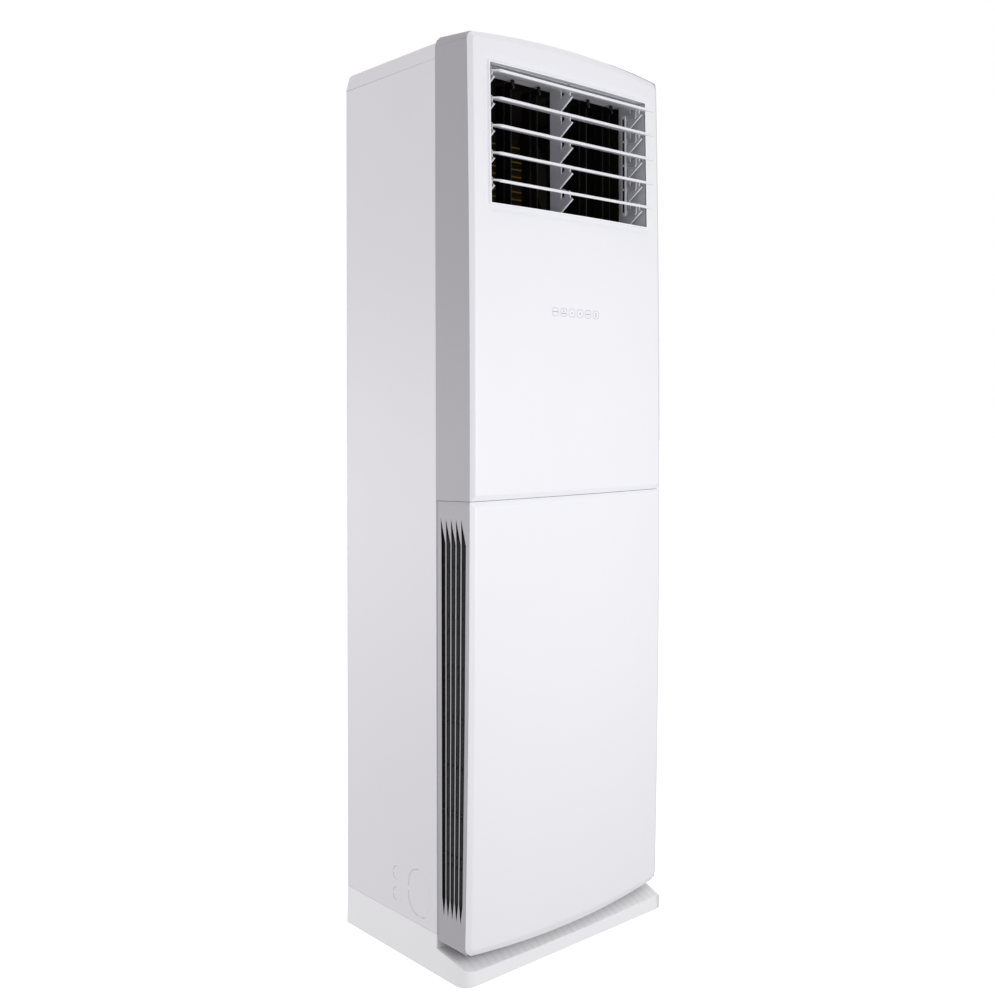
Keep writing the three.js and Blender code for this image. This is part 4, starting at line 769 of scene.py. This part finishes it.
# %% Top trim
trim_split, rear_foot, front_foot = -0.15, 1.779, 1.784
rear_height, end_start, end_run, run_per_rise = 6 * mm, 60 * mm, 100 * mm, 40
move_points(shown["upper_trim_top"], lambda x, y, z: y > trim_split and z > rear_foot,
            lambda x, y, z: (
                x, y, z + min(z - rear_foot, rear_height) * (x / half_width) ** 2))
move_points(shown["upper_trim_top"],
            lambda x, y, z: y < trim_split and z > front_foot and x > end_start,
            lambda x, y, z: (x, y, z + min(x - end_start, end_run) / run_per_rise))
print("top trim:", len(shown["upper_trim_top"].data.vertices), "points")

# %% Top cover
cover = shown["top_cover"]
cover_edge, crown_foot, crown_lift = 1762 * mm, 1768 * mm, 4.5 * mm
edge_drop, outermost = 0.3 * mm, 269.9 * mm
rear = back_shift
corner = rear - max(v.co.y for v in cover.data.vertices if abs(v.co.x) > outermost)


def square_corner(x, y, z):
    """Draws the lower edge of the cover's round rear corners out to the sheets' square ones."""
    across, along = abs(x) - (half_width - corner), y - (rear - corner)
    if across > 0 and along > 0:
        grow = corner / max(across, along)
        x = math.copysign(half_width - corner + across * grow, x)
        y = rear - corner + along * grow
    return x, y, z - edge_drop


move_points(cover, lambda x, y, z: z < cover_edge, square_corner)
move_points(cover, lambda x, y, z: z > crown_foot, lambda x, y, z: (x, y, z + crown_lift))
print("cover corner:", round(corner / mm, 1), "mm")

# %% [markdown]
# ### Second finishes
# The edges of the louvre supports get a painted highlight in the louvres' white, and the rim
# round the outlet a brighter painted highlight, as the brightest line of the front. The bevels
# at the upper panel's sides are turned away from the light and get painted shade, the ends of
# the louvres' levers get painted shade where they lie in each other's shade, and the rear
# sheet is lined with foam inside. A split into more pieces isn't needed for that: the faces
# are picked by where they lie and which way they look.

# %% Painted faces
rim_reach, bevel_reach = 2, 20
lever_near, lever_far, lining_half = 198 * mm, 208.9 * mm, 0.246
# painted highlight: the supports' edges get the louvres' brighter white
for side in ("left", "centre", "right"):
    paint_faces(shown["louvre_support_" + side], louvre_white,
                lambda middle, normal: abs(normal.x) < 0.5)
# painted shade on the upper panel's side bevels
paint_faces(upper_front, bevel_shade,
            lambda middle, normal: off_outlet(middle.x, middle.z) > bevel_reach
            and normal.y < -0.2 and abs(normal.x) > 0.3)
# painted highlight on the rim round the outlet
paint_faces(upper_front, rim_highlight,
            lambda middle, normal: off_outlet(middle.x, middle.z) < rim_reach
            and middle.y < face_y(middle.x, middle.z) + upper_wall)
for index in range(1, 6):
    paint_faces(shown[f"louvre_{index}"], lever_shade, lambda middle, normal:
                lever_near < middle.x < lever_far and abs(normal.x) > 0.7)
paint_faces(shown["rear_panel"], plenum_foam, lambda middle, normal: normal.y < -0.5
            and abs(middle.x) < lining_half)
print("upper front:", [finish.name for finish in upper_front.data.materials])

# %% [markdown]
# ### The plinth's toe
# The solid's toe bows forwards between two round corners. In the picture its front edge is
# almost straight, leans forwards to the right and ends there in a crisp corner. Points in
# front of the cabinet are moved by that difference, which grows from nothing at the
# cabinet to its full size at the toe's edge, so the slope stays even.

# %% Toe
toe_corner_x, toe_corner_y = 245 * mm, -144 * mm
toe_start, toe_run = -113 * mm, 57 * mm
toe_slope, toe_side_height = 0.46, 20 * mm
toe_bow, toe_lean, lean_offset = 7 * mm, 5.5 * mm, 0.85


def toe_point(x, y, z):
    """The toe's front is drawn out to a nearly straight edge with a crisp right corner."""
    deep, across = toe_corner_y - y, x - toe_corner_x
    if across > 0 and deep > 0:
        grow = math.hypot(across, deep) / max(across, deep)
        forwards = deep * grow - deep
        x, y = toe_corner_x + across * grow, y - forwards
        z -= toe_slope * forwards if z > toe_side_height else 0
    share = min(max((toe_start - y) / toe_run, 0), 1)
    along = min(max(x / toe_corner_x, -1), 1)
    bow = toe_bow * (1 - along ** 2)
    return x, y + share * (bow - (along + lean_offset) * toe_lean), z


move_points(shown["base_plinth"], lambda x, y, z: y < toe_start, toe_point)
# painted light on the toe's upward faces, against the panel's shade
paint_faces(shown["base_plinth"], toe_painted_light,
            lambda middle, normal: 0.7 < normal.z < 0.996 and middle.y < -0.08)
print("plinth:", [finish.name for finish in shown["base_plinth"].data.materials])

# %% [markdown]
# ### Beads on the teeth
# The front edge of every saw tooth carries a small bead in the louvres' white, a painted
# highlight like that on the supports' edges. The faces of that edge are copied off the
# support, widened, and given a thickness of their own.

# %% Beads
tooth_face_area, teeth_front, bead_wall = 50 * mm * mm, -158 * mm, 0.9 * mm


def beads(side, middle_x, widen):
    """Beads on one support; middle_x is its middle in mm, widen the factor of their width."""
    only(shown["louvre_support_" + side])
    bpy.ops.object.duplicate()
    piece = bpy.context.object
    edge = edit(piece, "FACE")
    for face in edge.faces:
        middle = face.calc_center_median()
        face.select_set(not (face.normal.z < -0.7 and face.normal.y < -0.4
                             and face.calc_area() > tooth_face_area
                             and middle.y < teeth_front))
    bpy.ops.mesh.delete(type="FACE")
    leave()
    move_points(piece, everywhere,
                lambda x, y, z: (middle_x * mm + (x - middle_x * mm) * widen, y, z))
    apply_modifier(piece, "SOLIDIFY", thickness=bead_wall, offset=1)
    return finish_piece(piece, "tooth_beads_" + side, "louvre_white", "cabinet")


# painted highlight: the beads are in the louvres' white
beads("left", -210.5, 1.4)
beads("centre", 0, 1.6)
beads("right", 210.5, 1.4)

# %% [markdown]
# ### Small bars and strips
# A run of equal bars is a set of beveled bars, each made at its own place, and joined. The
# duct's ceiling has low ribs along it, thin black bars paint the shade in the hollow sides of
# the louvres' link bar between its pins, hooks hold the top of the vanes, and a dark bar in
# the foam's finish covers the right end of the coil.

# %% A bar with soft edges
def bar(place_mm, size_mm, turn=0.0, edge=0.3):
    """A beveled bar; its middle and size are in millimetres, its turn about X in degrees."""
    bpy.ops.object.select_all(action="DESELECT")
    bpy.ops.mesh.primitive_cube_add(size=1, location=[v * mm for v in place_mm],
                                    rotation=(math.radians(turn), 0, 0))
    piece = bpy.context.object
    piece.scale = [v * mm for v in size_mm]
    settle(piece)
    edit(piece, "EDGE")
    bpy.ops.mesh.select_all(action="SELECT")
    bpy.ops.mesh.bevel(offset=edge * mm, segments=2, affect="EDGES")
    leave()
    return piece


def joined(pieces):
    """Joins pieces into the first of them."""
    bpy.ops.object.select_all(action="DESELECT")
    for piece in pieces:
        piece.select_set(True)
    bpy.context.view_layer.objects.active = pieces[0]
    bpy.ops.object.join()
    return bpy.context.object


# %% Ribs of the duct's ceiling, painted shade in the link's hollows, hooks, a dark bar at the coil's end
rib_depths, pin_pitch, hook_places = (-176, -162, -148, -136), 51.5, range(-180, 181, 72)
ribs = [bar((side * 105.3, y, 1737.6), (205, 3, 1.6)) for y in rib_depths
        for side in (-1, 1)]
finish_piece(joined(ribs), "duct_ribs", "duct_grey", "cabinet")
# painted shade: thin black bars in the link's hollow sides, between its pins
hollow_shades = [bar((x, -145.2, 1684.25 - pin_pitch * step), (0.3, 4.6, 47), edge=0.1)
           for step in range(4) for x in (199.85, 202.95)]
finish_piece(joined(hollow_shades), "link_hollow_shade", "vane_black", "louvre_link")
hooks = [bar((x, -127, 1728), (6, 6, 18), edge=0.8) for x in hook_places]
hooks += [bar((x, -130.5, 1722), (6, 4, 5), edge=0.8) for x in hook_places]
finish_piece(joined(hooks), "vane_hooks", "vane_black", "cabinet")
# a dark bar in the foam's finish over the coil's right end, darker there
end_bar = bar((169.5, 67.5, 1573), (59, 6, 270), turn=-23.06, edge=2)
finish_piece(end_bar, "coil_end_bar", "plenum_foam", "cabinet")

# %% [markdown]
# ### Webs of the knock-outs
# A knock-out isn't cut free: a thin web of steel is left in its cuts. One sheet within the
# wall of each side fills them nearly flush and stands for all its webs.

# %% Webs
web_middle, web_wall = 269.55, 0.5
for side, name in ((-1, "left"), (1, "right")):
    web = bar((side * web_middle, 30, 230), (web_wall, 190, 300), edge=0.1)
    finish_piece(web, "knock_out_webs_" + name, "cabinet_paint", "cabinet")

# %% [markdown]
# ### Outlines of the knock-outs
# What the eye sees of a knock-out is the shadow in its cut. An outline is a rounded plane,
# inset so that only a thin ring is left; four short gaps stand for the tabs that hold it.
# The rings are swung onto the side sheet. Their rear and lower parts, which lie in the cut's
# shade, are darker than the rest, which keeps the sheet's paint.

# %% Flat shapes and outlines
def flat_shape(kind, x, z, wide, tall):
    """A dot or a rectangle in the XZ plane; all in millimetres."""
    bpy.ops.object.select_all(action="DESELECT")
    where, turn = (x * mm, 0, z * mm), (math.radians(90), 0, 0)
    if kind == "dot":
        bpy.ops.mesh.primitive_circle_add(vertices=16, radius=0.5, fill_type="NGON",
                                          location=where, rotation=turn)
    else:
        bpy.ops.mesh.primitive_plane_add(size=1, location=where, rotation=turn)
    shape = bpy.context.object
    shape.scale = (wide * mm, tall * mm, 1)
    settle(shape)
    return shape


def outline_ring(x, z, wide, tall, corner, line):
    """A thin rounded outline in the XZ plane; all in millimetres."""
    ring = flat_shape("square", x, z, wide, tall)
    edit(ring)
    bpy.ops.mesh.select_all(action="SELECT")
    bpy.ops.mesh.bevel(offset=corner * mm, segments=8, affect="VERTICES")
    leave()
    edit(ring, "FACE")
    bpy.ops.mesh.select_all(action="SELECT")
    bpy.ops.mesh.inset(thickness=line * mm)
    bpy.ops.mesh.delete(type="FACE")
    leave()
    return ring


def knock_out_outline(middle, height, wide, tall, corner, tab):
    """An outline with four gaps; tab is half the width of a gap, in millimetres."""
    ring = outline_ring(middle, height, wide, tall, corner, cut_width)
    cut_lines(ring, [(0, (middle - tab) * mm), (0, (middle + tab) * mm),
                     (2, (height - tab) * mm), (2, (height + tab) * mm)])
    gaps = edit(ring, "FACE")
    for face in gaps.faces:
        place_x, _, place_z = face.calc_center_median()
        face.select_set(abs(place_x - middle * mm) < tab * mm
                        or abs(place_z - height * mm) < tab * mm)
    bpy.ops.mesh.delete(type="FACE")
    leave()
    return ring


# %% Outlines on the side sheets: middle, height, width, tallness, corner and half a gap
cut_width, ring_wall, sheet_face = 1.1, 0.16 * mm, 269.98
knock_outs = [
    (42.5, 156, 28, 28, 13.9, 2.4),
    (42.5, 114.5, 28, 28, 13.9, 2.4),
    (-31, 138, 74, 91, 33, 3.6),
]


def in_shade(middle, normal):
    """Whether a face of the rings lies in the shade of its cut."""
    rear_of_round = middle.y > 44 * mm
    rear_of_long = -31 * mm < middle.y < 20 * mm
    foot_of_long = middle.z < 120 * mm and -50 * mm < middle.y < -31 * mm
    return rear_of_round or rear_of_long or foot_of_long


for side, name in ((-1, "left"), (1, "right")):
    outlines = joined([knock_out_outline(*form) for form in knock_outs])
    move_points(outlines, everywhere, lambda x, y, z: (side * sheet_face * mm, x, z))
    apply_modifier(outlines, "SOLIDIFY", thickness=ring_wall, offset=0)
    face_outwards(outlines)
    finish_piece(outlines, "knock_out_outlines_" + name, "cabinet_paint", "cabinet")
    paint_faces(outlines, web_shade, in_shade)

# %% [markdown]
# ### Touch keys
# The keys are printed on the upper front, six rounded squares in a row with a mark in each.
# A square is a plane whose corners are beveled; an inset leaves a thin ring, the rest is
# deleted. Everything is then laid on the bulging face and given a print's thickness.

# %% Key outlines and marks
key_middle, key_pitch, key_height = -1.6, 23.1, 1273.6
key_wide, key_tall, key_corner, key_stroke = 18, 17.2, 6.5, 1.1
print_sink, print_wall = 0.02 * mm, 0.08 * mm
key_places = [key_middle + key_pitch * (index - 2.5) for index in range(6)]


def printed(shapes, name, finish):
    """Lays flat shapes on the upper front's face and gives them a print's thickness."""
    piece = joined(shapes)
    move_points(piece, everywhere, lambda x, y, z: (x, face_y(x, z) - print_sink, z))
    apply_modifier(piece, "SOLIDIFY", thickness=print_wall, offset=1)
    face_outwards(piece)
    finish_piece(piece, name, "fascia_white", "cabinet")
    piece.data.materials[0] = finish


printed([outline_ring(x, key_height, key_wide, key_tall, key_corner, key_stroke)
         for x in key_places], "key_outlines", key_line)
marks = [
    ("bar", key_places[0], 0.5, 14, 1.8), ("bar", key_places[1], -2, 13, 1.6),
    ("dot", key_places[1], 2.5, 3, 3), ("dot", key_places[2], 0, 3.4, 3.4),
    ("dot", key_places[3], 0, 4, 4), ("bar", key_places[4], 0, 13, 1.8),
    ("dot", key_places[5], 2.3, 3.4, 3.4), ("dot", key_places[5], -2.3, 3.4, 3.4),
]
printed([flat_shape(kind, x, key_height + up, wide, tall) for kind, x, up, wide, tall in marks],
        "key_marks", key_mark)
